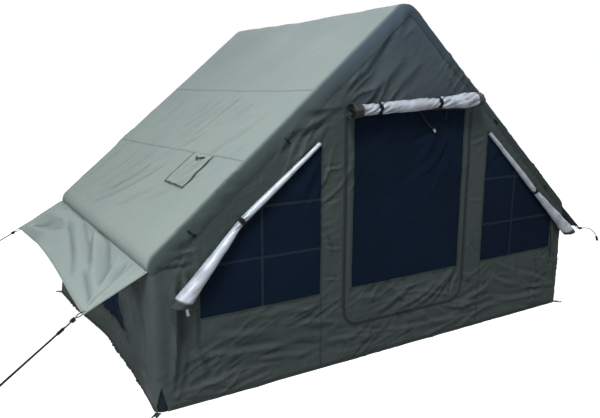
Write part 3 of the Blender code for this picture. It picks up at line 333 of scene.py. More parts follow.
@dataclass(frozen=True)
class Wiring:
    """Adds nodes to one node tree and wires them up."""

    tree: bpy.types.NodeTree

    def feed(self, node: bpy.types.Node, values: dict) -> None:
        """Sets or links a node's inputs.

        Args:
            node: The node.
            values: Input name or number to a number, a vector or another node's socket.
        """
        for key, value in values.items():
            if isinstance(value, Socket):
                self.tree.links.new(value, node.inputs[key])
            else:
                node.inputs[key].default_value = value

    def add(self, kind: str, values: dict | None = None, **settings) -> bpy.types.NodeOutputs:
        """A new node's outputs.

        Args:
            kind: The node's type name.
            values: What its inputs hold.
            settings: Properties of the node.

        Returns:
            The outputs.
        """
        node = self.tree.nodes.new(kind)
        for name, setting in settings.items():
            setattr(node, name, setting)
        self.feed(node, values or {})
        return node.outputs

    def math(self, operation: str, a: Fed, b: Fed = 0.0, c: Fed = 0.0) -> Socket:
        """The result of a Math node."""
        return self.add("ShaderNodeMath", {0: a, 1: b, 2: c}, operation=operation)[0]

    def mix(self, share: Fed, a: Colour | Socket, b: Colour | Socket) -> Socket:
        """A colour between two, each a colour or a socket."""
        values = {"Factor": share, 6: opaque(a), 7: opaque(b)}
        return self.add("ShaderNodeMix", values, data_type="RGBA")[2]

    def ramp(self, value: Socket, low: float, high: float) -> Socket:
        """A smooth step of a socket from 0 at low to 1 at high."""
        values = {"Value": value, "From Min": low, "From Max": high}
        return self.add("ShaderNodeMapRange", values, interpolation_type="SMOOTHSTEP")[0]

    def cloud(self, place: Socket, scale: Fed, detail: float = 2.0, distortion: float = 0.0) -> Socket:
        """Soft noise over a place."""
        values = {"Vector": place, "Scale": scale, "Detail": detail, "Distortion": distortion}
        return self.add("ShaderNodeTexNoise", values)[0]

    def bump(self, height: Socket, strength: float, distance: float, **normal: Socket) -> Socket:
        """The normal of a surface with a height, on top of another Normal if one is given."""
        values = {"Height": height, "Strength": strength, "Distance": distance, **normal}
        return self.add("ShaderNodeBump", values)[0]

    def mark(self, name: str) -> Socket:
        """A number that each point of a piece holds."""
        return self.add("ShaderNodeAttribute", attribute_name=name)["Fac"]

    def effect(self, tree: bpy.types.NodeTree, values: dict) -> bpy.types.NodeOutputs:
        """What a shared effect puts out."""
        return self.add("ShaderNodeGroup", values, node_tree=tree)


def opaque(colour: Colour | Socket) -> tuple | Socket:
    """A colour with its alpha, or a socket as it is."""
    return colour if isinstance(colour, Socket) else (*colour, 1.0)


def scaled(colour: Colour, factor: float) -> Colour:
    """A colour made darker or lighter."""
    return tuple(part * factor for part in colour)


class Effects:
    """The shader node groups that the finishes share, each made once."""

    @staticmethod
    def group(name: str, inputs: Sequence[str], outputs: Sequence[str], fill: Callable) -> bpy.types.NodeTree:
        """A node group with named sockets.

        Args:
            name: The group's name.
            inputs: Its inputs, numbers apart from the one called Vector.
            outputs: Its outputs, all numbers.
            fill: Called with the wiring and the inputs, it gives a socket for each output.

        Returns:
            The group's tree.
        """
        if name in bpy.data.node_groups:
            return bpy.data.node_groups[name]
        tree = bpy.data.node_groups.new(name, "ShaderNodeTree")
        for label in inputs:
            kind = "Vector" if label == "Vector" else "Float"
            tree.interface.new_socket(label, in_out="INPUT", socket_type=f"NodeSocket{kind}")
        for label in outputs:
            tree.interface.new_socket(label, in_out="OUTPUT", socket_type="NodeSocketFloat")
        wiring = Wiring(tree)
        given = wiring.add("NodeGroupInput")
        wiring.add("NodeGroupOutput", fill(wiring, given))
        return tree

    @classmethod
    def weave(cls) -> bpy.types.NodeTree:
        """Crossing threads: the Height of the yarns over flat places in metres, at the given Pitch.

        Returns:
            The group's tree.
        """

        def fill(wiring: Wiring, given: bpy.types.NodeOutputs) -> dict:
            """The yarns' height, the product of two crossing waves.

            Args:
                wiring: The group's wiring.
                given: What its inputs give.

            Returns:
                A socket for each output.
            """
            turns = [wiring.math("DIVIDE", part, given["Pitch"]) for part in wiring.add(
                "ShaderNodeSeparateXYZ", {0: given["Vector"]})[:2]]
            waves = [wiring.math("SINE", wiring.math("MULTIPLY", turn, math.tau)) for turn in turns]
            return {"Height": wiring.math("MULTIPLY_ADD", wiring.math("MULTIPLY", *waves), 0.5, 0.5)}

        return cls.group("woven_yarns", ("Vector", "Pitch"), ("Height",), fill)

    @classmethod
    def crumple(cls) -> bpy.types.NodeTree:
        """Small soft creases: a Height of sharp-edged waves, of the given Size in metres.

        Returns:
            The group's tree.
        """

        def fill(wiring: Wiring, given: bpy.types.NodeOutputs) -> dict:
            """The creases' height, sharp where soft noise crosses its middle.

            Args:
                wiring: The group's wiring.
                given: What its inputs give.

            Returns:
                A socket for each output.
            """
            cloud = wiring.cloud(given["Vector"], wiring.math("DIVIDE", 1.0, given["Size"]), 3.0, 0.6)
            folded = wiring.math("ABSOLUTE", wiring.math("SUBTRACT", cloud, 0.5))
            return {"Height": wiring.math("MULTIPLY", folded, 2.0)}

        return cls.group("soft_creases", ("Vector", "Size"), ("Height",), fill)

    @classmethod
    def wear_and_sky_reflection(cls) -> bpy.types.NodeTree:
        """Uneven tone: Blotches of faded cloth, Dust towards the ground, and Sky, a rise with height that paints the
        sky's reflection into the colour.

        Returns:
            The group's tree.
        """

        def fill(wiring: Wiring, given: bpy.types.NodeOutputs) -> dict:
            """The three masks, from the places of the cloth.

            Args:
                wiring: The group's wiring.
                given: What its inputs give.

            Returns:
                A socket for each output.
            """
            height = wiring.add("ShaderNodeSeparateXYZ", {0: given["Vector"]})[2]
            low = wiring.math("SUBTRACT", 1.0, wiring.ramp(height, 0.0, 0.22))
            return {
                "Blotches": wiring.ramp(wiring.cloud(given["Vector"], 2.3, 4.0), 0.35, 0.68),
                "Dust": wiring.math("MULTIPLY", low, wiring.cloud(given["Vector"], 19.0)),
                # The Sky mask is painted sky reflection: it rises with height.
                "Sky": wiring.ramp(height, 1.15, 1.95),
            }

        return cls.group("cloth_wear_and_sky_reflection", ("Vector",), ("Blotches", "Dust", "Sky"), fill)

    @classmethod
    def stitches(cls) -> bpy.types.NodeTree:
        """Two rows of stitches along a tape: a Thread mask from Along in metres and Across from 0 to 1.

        Returns:
            The group's tree.
        """

        def fill(wiring: Wiring, given: bpy.types.NodeOutputs) -> dict:
            """The threads' mask, two rows of dashes.

            Args:
                wiring: The group's wiring.
                given: What its inputs give.

            Returns:
                A socket for each output.
            """
            beside = wiring.math("ABSOLUTE", wiring.math("SUBTRACT", given["Across"], 0.5))
            step = wiring.math("FRACT", wiring.math("DIVIDE", given["Along"], 0.0045))
            row = wiring.math("COMPARE", beside, 0.36, 0.05)
            return {"Thread": wiring.math("MULTIPLY", row, wiring.math("LESS_THAN", step, 0.72))}

        return cls.group("stitch_rows", ("Along", "Across"), ("Thread",), fill)


@dataclass(frozen=True)
class Finish:
    """A finish with its base values. Each kind adds its own pattern."""

    name: str
    colour: Colour
    roughness: float = 0.6
    metallic: float = 0.0
    gloss: float = 0.5

    def pattern(self, wiring: Wiring, shader: bpy.types.Node) -> None:
        """Adds the finish's pattern to its shader; a plain finish only gets faint handling marks.

        Args:
            wiring: The material's wiring.
            shader: Its Principled shader.
        """
        cloud = wiring.cloud(wiring.add("ShaderNodeTexCoord")["Object"], 90.0, 3.0)
        wiring.feed(shader, {
            "Base Color": wiring.mix(cloud, self.colour, scaled(self.colour, 0.7)),
            "Roughness": wiring.math("MULTIPLY_ADD", cloud, 0.25, self.roughness - 0.12),
            "Normal": wiring.bump(cloud, 0.25, 0.0004),
        })

    def material(self) -> bpy.types.Material:
        """The finish as a material, made once.

        Returns:
            The material.
        """
        if self.name in bpy.data.materials:
            return bpy.data.materials[self.name]
        made = bpy.data.materials.new(self.name)
        made.use_nodes = True
        shader = made.node_tree.nodes["Principled BSDF"]
        wiring = Wiring(made.node_tree)
        wiring.feed(shader, {
            "Base Color": opaque(self.colour), "Roughness": self.roughness, "Metallic": self.metallic,
            "Specular IOR Level": self.gloss,
        })
        self.pattern(wiring, shader)
        return made


@dataclass(frozen=True)
class ClothFinish(Finish):
    """Coated woven cloth: yarns, small creases, faded blotches, dust at the foot, a cooler tone up high that is painted
    sky reflection, painted shade where a roof turns down over its edges, and painted shade in its folds.
    """

    faded: Colour = (0.1, 0.1, 0.1)
    # high: painted sky reflection, the tone that the cloth is blended to towards the top.
    high: Colour = (0.1, 0.1, 0.1)
    # turned: painted shade, the tone where a roof turns down over a gable edge or under its eave; the next field is
    # that tone with the painted sky reflection up high.
    turned: Colour = (0.1, 0.1, 0.1)
    turned_sky_reflection_tone: Colour = (0.1, 0.1, 0.1)
    pitch: float = 0.0012
    crease_size: float = 0.09
    crease_depth: float = 0.004
    # shaded and shade: how much, and towards what colour, shade is painted into the folds.
    shaded: float = 0.45
    shade: Colour = (0.012, 0.018, 0.018)

    def pattern(self, wiring: Wiring, shader: bpy.types.Node) -> None:
        """Adds the cloth's tones and its weave, the painted sky reflection up high, the painted shade where a roof
        turns over its edges, and the painted shade in its folds.

        Args:
            wiring: The material's wiring.
            shader: Its Principled shader.
        """
        places = wiring.add("ShaderNodeTexCoord")
        wear_and_sky_reflection = wiring.effect(Effects.wear_and_sky_reflection(), {"Vector": places["Object"]})
        tone = wiring.mix(wiring.math("MULTIPLY", wear_and_sky_reflection["Blotches"], 0.6), self.colour, self.faded)
        # Painted sky reflection: towards the top the colour is blended to the high tone.
        painted_sky_share = wiring.math("MULTIPLY", wear_and_sky_reflection["Sky"], 0.8)
        tone = wiring.mix(painted_sky_share, tone, self.high)
        # Painted shade: where a roof turns down round a gable edge or under its eave, the colour is blended to the
        # turned tone.
        tone = wiring.mix(wiring.mark(PAINTED_TURN_SHADE_MARK), tone, wiring.mix(painted_sky_share, self.turned, self.turned_sky_reflection_tone))
        dusty = tuple(0.6 * part + 0.05 for part in self.faded)
        tone = wiring.mix(wiring.math("MULTIPLY", wear_and_sky_reflection["Dust"], 0.35), tone, dusty)
        # Painted shade: the colour is darkened in the folds by the fold depth mark.
        tone = wiring.mix(wiring.math("MULTIPLY", wiring.mark(PAINTED_FOLD_SHADE_MARK), self.shaded), tone, self.shade)
        crease = wiring.effect(Effects.crumple(), {"Vector": places["Object"], "Size": self.crease_size})
        yarns = wiring.effect(Effects.weave(), {"Vector": places["UV"], "Pitch": self.pitch})
        folds = wiring.bump(crease["Height"], 0.5, self.crease_depth)
        wiring.feed(shader, {
            "Base Color": tone,
            "Roughness": wiring.math("MULTIPLY_ADD", wear_and_sky_reflection["Blotches"], 0.12, self.roughness - 0.06),
            "Normal": wiring.bump(yarns["Height"], 0.25, 0.00012, Normal=folds),
        })


@dataclass(frozen=True)
class TapeFinish(Finish):
    """A sewn tape, hem or strap: ribbed webbing with two rows of stitches."""

    thread: Colour = (0.1, 0.1, 0.1)
    rib: float = 0.0022

    def pattern(self, wiring: Wiring, shader: bpy.types.Node) -> None:
        """Adds ribs across the tape and its stitches.

        Args:
            wiring: The material's wiring.
            shader: Its Principled shader.
        """
        parts = wiring.add("ShaderNodeSeparateXYZ", {0: wiring.add("ShaderNodeTexCoord")["UV"]})
        stitch = wiring.effect(Effects.stitches(), {"Along": parts[0], "Across": parts[1]})["Thread"]
        wave = wiring.math("SINE", wiring.math("MULTIPLY", parts[0], math.tau / self.rib))
        ribs = wiring.math("MULTIPLY_ADD", wave, 0.5, 0.5)
        tone = wiring.mix(ribs, self.colour, scaled(self.colour, 0.75))
        height = wiring.math("MAXIMUM", wiring.math("MULTIPLY", ribs, 0.5), stitch)
        wiring.feed(shader, {
            "Base Color": wiring.mix(stitch, tone, self.thread), "Normal": wiring.bump(height, 0.35, 0.0005),
        })


@dataclass(frozen=True)
class MeshFinish(Finish):
    """Fine insect mesh: crossing threads with open holes that let the dark cabin show through."""

    pitch: float = 0.0016
    cover: float = 0.87

    def pattern(self, wiring: Wiring, shader: bpy.types.Node) -> None:
        """Adds the net's threads and how much they hide.

        Args:
            wiring: The material's wiring.
            shader: Its Principled shader.
        """
        places = wiring.add("ShaderNodeTexCoord")
        yarns = wiring.effect(Effects.weave(), {"Vector": places["UV"], "Pitch": self.pitch})["Height"]
        cloud = wiring.cloud(places["Object"], 2.0)
        wiring.feed(shader, {
            "Base Color": wiring.mix(cloud, self.colour, scaled(self.colour, 1.9)),
            "Alpha": wiring.math("MULTIPLY_ADD", yarns, 0.12, self.cover),
            "Normal": wiring.bump(yarns, 0.2, 0.0002),
        })


@dataclass(frozen=True)
class SilverFinish(Finish):
    """Silver-coated cloth: bright, crumpled, with greyer scuffed patches, painted shade in its folds and a dark sewn
    edge at each end.
    """

    scuffed: Colour = (0.36, 0.375, 0.43)
    # shade: the colour of the painted shade in the folds.
    shade: Colour = (0.09, 0.105, 0.135)
    edge: Colour = (0.03, 0.035, 0.033)

    def pattern(self, wiring: Wiring, shader: bpy.types.Node) -> None:
        """Adds creases, scuffs, painted shade in the folds and the dark ends.

        Args:
            wiring: The material's wiring.
            shader: Its Principled shader.
        """
        place = wiring.add("ShaderNodeTexCoord")["Object"]
        crease = wiring.effect(Effects.crumple(), {"Vector": place, "Size": 0.03})["Height"]
        dark_end = wiring.mark(END_MARK)
        tone = wiring.mix(wiring.ramp(wiring.cloud(place, 14.0, 4.0), 0.4, 0.7), self.colour, self.scuffed)
        # Painted shade: the silver is darkened in its folds by the fold depth mark.
        tone = wiring.mix(wiring.math("MULTIPLY", wiring.mark(PAINTED_FOLD_SHADE_MARK), 0.75), tone, self.shade)
        wiring.feed(shader, {
            "Base Color": wiring.mix(dark_end, tone, self.edge),
            "Metallic": wiring.math("MULTIPLY_ADD", dark_end, -self.metallic, self.metallic),
            "Normal": wiring.bump(crease, 0.5, 0.0018),
        })


@dataclass(frozen=True)
class RopeFinish(Finish):
    """Braided cord: slanting strands that cross, with painted shade in the grooves between them."""

    strand: float = 0.0035

    def pattern(self, wiring: Wiring, shader: bpy.types.Node) -> None:
        """Adds the braid, with painted shade in its grooves.

        Args:
            wiring: The material's wiring.
            shader: Its Principled shader.
        """
        place = wiring.add("ShaderNodeTexCoord")["Object"]
        values = {"Vector": place, "Scale": 1 / self.strand / 4, "Distortion": 1.0, "Detail": 0.0}
        wave = wiring.add("ShaderNodeTexWave", values, bands_direction="DIAGONAL")["Fac"]
        wiring.feed(shader, {
            # Painted shade: the colour follows the braid's bump, darker in the grooves between strands.
            "Base Color": wiring.mix(wave, scaled(self.colour, 0.45), self.colour),
            "Normal": wiring.bump(wave, 0.6, 0.0006),
        })


@dataclass(frozen=True)
class FloorFinish(Finish):
    """The studio floor: pale, whitened where the camera sees it, so that only the tent's shadow shows."""

    glow: float = 0.93

    def pattern(self, wiring: Wiring, shader: bpy.types.Node) -> None:
        """Lets the camera see the floor brighter than it is lit.

        Args:
            wiring: The material's wiring.
            shader: Its Principled shader.
        """
        seen = wiring.add("ShaderNodeLightPath")["Is Camera Ray"]
        glow = wiring.mix(seen, (0.0, 0.0, 0.0), (self.glow,) * 3)
        wiring.feed(shader, {"Emission Color": glow, "Emission Strength": 1.0})


# WALL_TONE is the coated cloth's own dark green, which the roof and the awning flaps share.
WALL_TONE = (0.041, 0.057, 0.056)
# Painted sky reflection: the bluer tone of the walls up high, and of the roof where it turns down up high.
SKY_REFLECTION_WALL_TONE = (0.056, 0.079, 0.105)
# Painted sky sheen: the roof's colour and faded tone are the dark cloth lit by the bright sky, not a colour of its own;
# turned is the painted shade where it turns down.
ROOF = ClothFinish(
    "roof_coated_cloth", (0.238, 0.288, 0.276), 0.8, gloss=0.05,
    faded=(0.262, 0.312, 0.295), high=(0.2, 0.246, 0.247), turned=WALL_TONE, turned_sky_reflection_tone=SKY_REFLECTION_WALL_TONE,
)
# Painted sky sheen: the flap's upper face is lightened like the roof; its underside keeps the wall finish.
FLAP = ClothFinish(
    "awning_coated_cloth", (0.25, 0.305, 0.295), 0.8, gloss=0.05,
    faded=(0.3, 0.355, 0.34), high=(0.26, 0.315, 0.305), crease_size=0.12, crease_depth=0.004, shaded=0.3,
)
WALL = ClothFinish(
    "wall_coated_cloth", WALL_TONE, 0.6, gloss=0.16,
    faded=(0.055, 0.073, 0.069), high=SKY_REFLECTION_WALL_TONE, crease_size=0.07, crease_depth=0.008,
)
INNER = ClothFinish(
    "inner_cloth", (0.035, 0.045, 0.045), 0.7, faded=(0.045, 0.055, 0.055), high=(0.04, 0.05, 0.055)
)
FLOOR_CLOTH = ClothFinish(
    "groundsheet_cloth", (0.004, 0.008, 0.02), 0.75, gloss=0.1,
    faded=(0.006, 0.011, 0.024), high=(0.004, 0.008, 0.02), pitch=0.002,
)
NET = MeshFinish("insect_net", (0.003, 0.0075, 0.017), 0.8, gloss=0.06)
SILVER = SilverFinish("silver_coated_cloth", (0.48, 0.54, 0.61), 0.42, metallic=0.2, gloss=0.25)
HEM = TapeFinish("hem_tape", (0.036, 0.05, 0.048), 0.65, gloss=0.12, thread=(0.05, 0.066, 0.062))
# Painted sky sheen: the roof's seam tape is lightened to match the roof.
PALE_HEM = TapeFinish("roof_seam_tape", (0.2, 0.245, 0.235), 0.8, gloss=0.05, thread=(0.16, 0.2, 0.19))
WEBBING = TapeFinish("black_webbing", (0.009, 0.01, 0.011), 0.7, gloss=0.12, thread=(0.03, 0.03, 0.03))
NET_TAPE = TapeFinish("net_cross_tape", (0.012, 0.024, 0.036), 0.7, gloss=0.08, thread=(0.02, 0.034, 0.046))
ZIP_TAPE = TapeFinish("zip_tape", (0.022, 0.03, 0.029), 0.6, gloss=0.12, thread=(0.03, 0.04, 0.037))
SLEEVE = ClothFinish(
    "beam_sleeve", (0.16, 0.17, 0.165), 0.6, faded=(0.19, 0.2, 0.195), high=(0.16, 0.17, 0.165), pitch=0.0016
)
PLASTIC = Finish("moulded_black_plastic", (0.01, 0.011, 0.012), 0.6, gloss=0.12)
ZIP_METAL = Finish("lacquered_zip_metal", (0.05, 0.05, 0.052), 0.35, metallic=0.85)
EYELET_METAL = Finish("dull_eyelet_metal", (0.35, 0.35, 0.34), 0.35, metallic=0.9)
ROPE = RopeFinish("braided_guy_rope", (0.022, 0.025, 0.025), 0.8, gloss=0.1)
PALE_ROPE = RopeFinish("pale_guy_cord", (0.10, 0.105, 0.11), 0.8, gloss=0.1)
WHITE_TAPE = TapeFinish("white_tie_tape", (0.6, 0.62, 0.66), 0.6, thread=(0.5, 0.52, 0.55))
ZIP_TEETH = TapeFinish("zip_teeth", (0.035, 0.036, 0.038), 0.4, metallic=0.6, thread=(0.05, 0.05, 0.055), rib=0.0025)
# Painted sky sheen: the flap's hem tape is lightened to match the flap.
FLAP_HEM = TapeFinish("awning_hem_tape", (0.235, 0.285, 0.26), 0.6, gloss=0.2, thread=(0.18, 0.22, 0.2))
LEFT_FLAP_CREASES = fold_lines(
    (220, 0, -660, 210, 42, -20, 12), (450, 80, -500, 270, 38, -15, 10), (-450, 200, -920, 280, 28, -11, 4),
    (-100, 20, -860, 220, 45, 18, 15), (-420, 0, -920, 240, 30, -12, 10), (250, 50, 850, 140, 50, 13, 12),
    (700, 0, 950, 310, 28, -15, 10), (400, 220, 920, 300, 40, 13, 10), (620, 60, 920, 260, 35, 10, 10),
    (-720, 20, -940, 270, 25, 10),
)
RIGHT_FLAP_CREASES = fold_lines(
    (300, 20, -500, 150, 42, -18, 10), (100, 170, -700, 250, 40, -15, 10), (700, 20, 940, 300, 30, -14, 10),
    (-700, 20, -940, 270, 30, -12, 10),
)


@dataclass(frozen=True)
class Placed:
    """Where a cloth's points lie in space, and the way that its face looks there."""

    points: np.ndarray
    out: np.ndarray

    def lifted(self, lift: Values) -> "Placed":
        """The same cloth, moved outwards by the lift at each point or everywhere."""
        moved = np.broadcast_to(np.asarray(lift, float), len(self.points))
        return Placed(self.points + self.out * moved[:, None], self.out)


def show(name: str, data: bpy.types.ID, *finishes: Finish) -> bpy.types.Object:
    """Puts a mesh, curve, lamp or camera in the scene.

    Args:
        name: The object's name.
        data: What it shows.
        finishes: Its finishes, in the order of its material slots.

    Returns:
        The object.
    """
    for finish in finishes:
        data.materials.append(finish.material())
    piece = bpy.data.objects.new(name, data)
    bpy.context.scene.collection.objects.link(piece)
    return piece


class Cloth:
    """A piece of cloth cut flat. Its places in that plane say where each point goes."""

    unsettled: list[bpy.types.Object] = []

    def __init__(self, bm: bmesh.types.BMesh, flat: np.ndarray, uv: np.ndarray | None = None) -> None:
        """Takes the flat mesh.

        Args:
            bm: The mesh.
            flat: Each point's place in the plane that it is laid out in.
            uv: Each point's place for the weave, if that differs.
        """
        self.bm = bm
        self.flat = flat
        self.uv = flat if uv is None else uv

    @classmethod
    def cut(cls, outline: Sequence[Pair], spacing: float, holes: Sequence[Sequence[Pair]] = ()) -> "Cloth":
        """A fine grid cut to an outline.

        Args:
            outline: The outline's corners in order.
            spacing: About the grid's spacing.
            holes: Outlines of holes in it.

        Returns:
            The cloth.
        """
        low = np.min(outline, axis=0)
        high = np.max(outline, axis=0)
        span = high - low
        bm = bmesh.new()
        counts = [max(1, round(side / spacing)) for side in span]
        bmesh.ops.create_grid(bm, x_segments=counts[0], y_segments=counts[1], size=0.5)
        bmesh.ops.scale(bm, vec=(span[0], span[1], 1.0), verts=bm.verts)
        bmesh.ops.translate(bm, vec=(*((low + high) / 2), 0.0), verts=bm.verts)
        for number, corners in enumerate([outline, *holes]):
            for a, b in zip(corners, [*corners[1:], corners[0]]):
                cls.cut_near(bm, Vector(a), Vector(b), 1.6 * spacing)
            faces = list(bm.faces)
            inside = even_odd([face.calc_center_median()[:2] for face in faces], corners)
            beyond = [face for face, within in zip(faces, inside) if within == bool(number)]
            bmesh.ops.delete(bm, geom=beyond, context="FACES")
        bm.verts.index_update()
        return cls(bm, np.array([v.co[:2] for v in bm.verts]))

    @staticmethod
    def cut_near(bm: bmesh.types.BMesh, a: Vector, b: Vector, reach: float) -> None:
        """Cuts the faces near a line from a to b along that line.

        Args:
            bm: The mesh.
            a: The line's start.
            b: The line's end.
            reach: How far beyond the line the faces are taken.
        """
        run = b - a
        if run.length < 1e-6:
            return
        normal = Vector((-run.y, run.x)).normalized()
        near = []
        margin = reach / run.length
        for face in bm.faces:
            away = face.calc_center_median().to_2d() - a
            if abs(away.dot(normal)) < reach and -margin < away.dot(run) / run.length_squared < 1 + margin:
                near.append(face)
        edges = {edge for face in near for edge in face.edges}
        corners = {vertex for face in near for vertex in face.verts}
        geometry = [*corners, *edges, *near]
        bmesh.ops.bisect_plane(bm, geom=geometry, dist=1e-5, plane_co=a.to_3d(), plane_no=normal.to_3d())

    @classmethod
    def band(cls, route: Sequence[Pair], width: float, spacing: float = 0.012) -> "Cloth":
        """A tape along a route in a plane, its corners mitred.

        Args:
            route: The corners of its middle line; the same first and last corner close it.
            width: Its width.
            spacing: About the distance between its cross lines.

        Returns:
            The tape, whose weave runs along it in metres and across it from 0 to 1.
        """
        line = [np.array(route[0], float)]
        for a, b in zip(route, route[1:]):
            steps = max(1, round(math.dist(a, b) / spacing))
            line += [np.array(a) + (np.array(b) - np.array(a)) * (i + 1) / steps for i in range(steps)]
        line = np.array(line)
        steps = np.diff(line, axis=0)
        lengths = np.linalg.norm(steps, axis=1)
        ways = steps / lengths[:, None]
        closed = math.dist(route[0], route[-1]) < 1e-6
        before = np.vstack([ways[-1:] if closed else ways[:1], ways])
        after = np.vstack([ways, ways[:1] if closed else ways[-1:]])
        mitre = before + after
        mitre /= (mitre * before).sum(axis=1)[:, None]
        sideways = np.stack([-mitre[:, 1], mitre[:, 0]], axis=1)
        made = cls.lattice(len(line) - 1, 2)
        column = np.rint(made.flat[:, 0] * (len(line) - 1)).astype(int)
        across = made.flat[:, 1]
        flat = line[column] + sideways[column] * ((across - 0.5) * width)[:, None]
        along = np.concatenate([[0.0], np.cumsum(lengths)])
        return cls(made.bm, flat, np.stack([along[column], across], axis=1))

    @classmethod
    def lattice(cls, columns: int, rows: int) -> "Cloth":
        """A grid of faces whose plane runs from 0 to 1 both ways.

        Args:
            columns: How many faces it has along the first way.
            rows: How many it has along the second.

        Returns:
            The cloth.
        """
        bm = bmesh.new()
        bmesh.ops.create_grid(bm, x_segments=columns, y_segments=rows, size=0.5)
        bm.verts.index_update()
        return cls(bm, np.array([v.co[:2] for v in bm.verts]) + 0.5)

    def make(
        self, name: str, placed: Placed, finishes: Sequence[Finish], thickness: float = 0.0012,
        offset: float = -1.0, marks: dict[str, np.ndarray] | None = None,
    ) -> bpy.types.Object:
        """The finished cloth.

        Args:
            name: The piece's name.
            placed: Where its points go.
            finishes: The face's finish, and the back's if that differs.
            thickness: The cloth's thickness.
            offset: -1 puts the thickness behind the points, 0 on both sides.
            marks: Further numbers per point that a finish reads.

        Returns:
            The object.
        """
        bm = self.bm
        for vertex, place in zip(bm.verts, placed.points.tolist()):
            vertex.co = place
        bm.normal_update()
        facing = sum(face.normal.dot(Vector(placed.out[face.verts[0].index])) for face in bm.faces)
        if facing < 0:
            bmesh.ops.reverse_faces(bm, faces=bm.faces)
        layer = bm.loops.layers.uv.new("UVMap")
        places = self.uv.tolist()
        for face in bm.faces:
            face.smooth = True
            for loop in face.loops:
                loop[layer].uv = places[loop.vert.index]
        mesh = bpy.data.meshes.new(name)
        bm.to_mesh(mesh)
        bm.free()
        # The depth in the folds, by which the finishes paint shade into the colour.
        marks = {PAINTED_FOLD_SHADE_MARK: self.valleys(mesh, placed.out), **(marks or {})}
        for label, values in marks.items():
            attribute = mesh.attributes.new(label, "FLOAT", "POINT")
            attribute.data.foreach_set("value", np.asarray(values, np.float32))
        piece = show(name, mesh, *finishes)
        solid = piece.modifiers.new("Cloth thickness", "SOLIDIFY")
        solid.thickness = thickness
        solid.offset = offset
        solid.material_offset = len(finishes) - 1
        Cloth.unsettled.append(piece)
        return piece

    @staticmethod
    def valleys(mesh: bpy.types.Mesh, out: np.ndarray) -> np.ndarray:
        """How deep each point lies in a fold, from how the cloth bends there; the finishes paint shade into the colour
        by it.

        Args:
            mesh: The placed cloth.
            out: The ways outwards at its points.

        Returns:
            Numbers from 0 on a flat place or a ridge to 1 in a sharp valley.
        """
        points = np.empty(len(mesh.vertices) * 3, np.float32)
        mesh.vertices.foreach_get("co", points)
        points = points.reshape(-1, 3)
        ends = np.empty(len(mesh.edges) * 2, np.int32)
        mesh.edges.foreach_get("vertices", ends)
        a, b = ends.reshape(-1, 2).T
        count = np.maximum(np.bincount(ends, minlength=len(points)), 1)
        step = points[b] - points[a]
        rise = np.einsum("ij,ij->i", step, out[a] + out[b]) / 2
        rise /= np.maximum(np.einsum("ij,ij->i", step, step), 1e-8)
        bend = (np.bincount(a, rise, len(points)) - np.bincount(b, rise, len(points))) / count
        for _ in range(5):
            near = np.bincount(a, bend[b], len(points)) + np.bincount(b, bend[a], len(points))
            bend = (bend + near / count) / 2
        return smooth_step(bend, 0.7, 9.0)

    @classmethod
    def settle(cls) -> None:
        """Gives every cloth its thickness for good, with hard rims, so that seams between panels stay even."""
        bpy.context.view_layer.update()
        graph = bpy.context.evaluated_depsgraph_get()
        thick = [bpy.data.meshes.new_from_object(piece.evaluated_get(graph)) for piece in cls.unsettled]
        for piece, mesh in zip(cls.unsettled, thick):
            piece.modifiers.clear()
            piece.data = mesh
            mesh.set_sharp_from_angle(angle=math.radians(55))


def even_odd(places: Sequence[Pair], outline: Sequence[Pair]) -> np.ndarray:
    """Which places lie inside an outline.

    Args:
        places: The places.
        outline: The outline's corners.

    Returns:
        True for each place inside.
    """
    if not len(places):
        return np.zeros(0, bool)
    x, y = np.array([tuple(place) for place in places]).T
    inside = np.zeros(len(x), bool)
    for (ax, ay), (bx, by) in zip(outline, [*outline[1:], outline[0]]):
        if ay != by:
            inside ^= ((ay > y) != (by > y)) & (x < (bx - ax) * (y - ay) / (by - ay) + ax)
    return inside


def circle(centre: Pair, radius: float) -> list[Pair]:
    """A round outline of 14 corners."""
    return arc(centre, radius, 0.0, math.tau, 14)[:-1]


def arc(centre: Pair, radius: float, start: float, end: float, steps: int) -> list[Pair]:
    """Points on an arc between two angles in a plane, both ends included."""
    angles = np.linspace(start, end, steps + 1)
    return [(centre[0] + radius * math.cos(t), centre[1] + radius * math.sin(t)) for t in angles]


def rectangle(left: float, low: float, right: float, high: float) -> list[Pair]:
    """An upright outline's four corners, from the lower left one round."""
    return [(left, low), (right, low), (right, high), (left, high)]


def clip(outline: Sequence[Pair], point: Pair, inward: Pair) -> list[Pair]:
    """The part of a convex outline on the inward side of a line.

    Args:
        outline: The outline's corners.
        point: A point of the line.
        inward: The way from the line to the kept side.

    Returns:
        The kept part's corners.
    """
    kept = []
    for a, b in zip(outline, [*outline[1:], outline[0]]):
        side_a = (a[0] - point[0]) * inward[0] + (a[1] - point[1]) * inward[1]
        side_b = (b[0] - point[0]) * inward[0] + (b[1] - point[1]) * inward[1]
        if side_a >= 0:
            kept.append(a)
        if side_a * side_b < 0:
            share = side_a / (side_a - side_b)
            kept.append((blend_values(a[0], b[0], share), blend_values(a[1], b[1], share)))
    return kept


def dress(piece: bpy.types.Object, body: Body, slot: str, *nodes: str) -> bpy.types.Object:
    """Puts a piece on its body, and hides the nodes that it stands for.

    Args:
        piece: The piece.
        body: What it moves with.
        slot: The record's material slot; not used.
        nodes: The CAD nodes it replaces.

    Returns:
        The piece.
    """
    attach(piece, body.value)
    if nodes:
        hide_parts(*nodes)
    LOG.info("%s rides on %s", piece.name, body.value)
    return piece


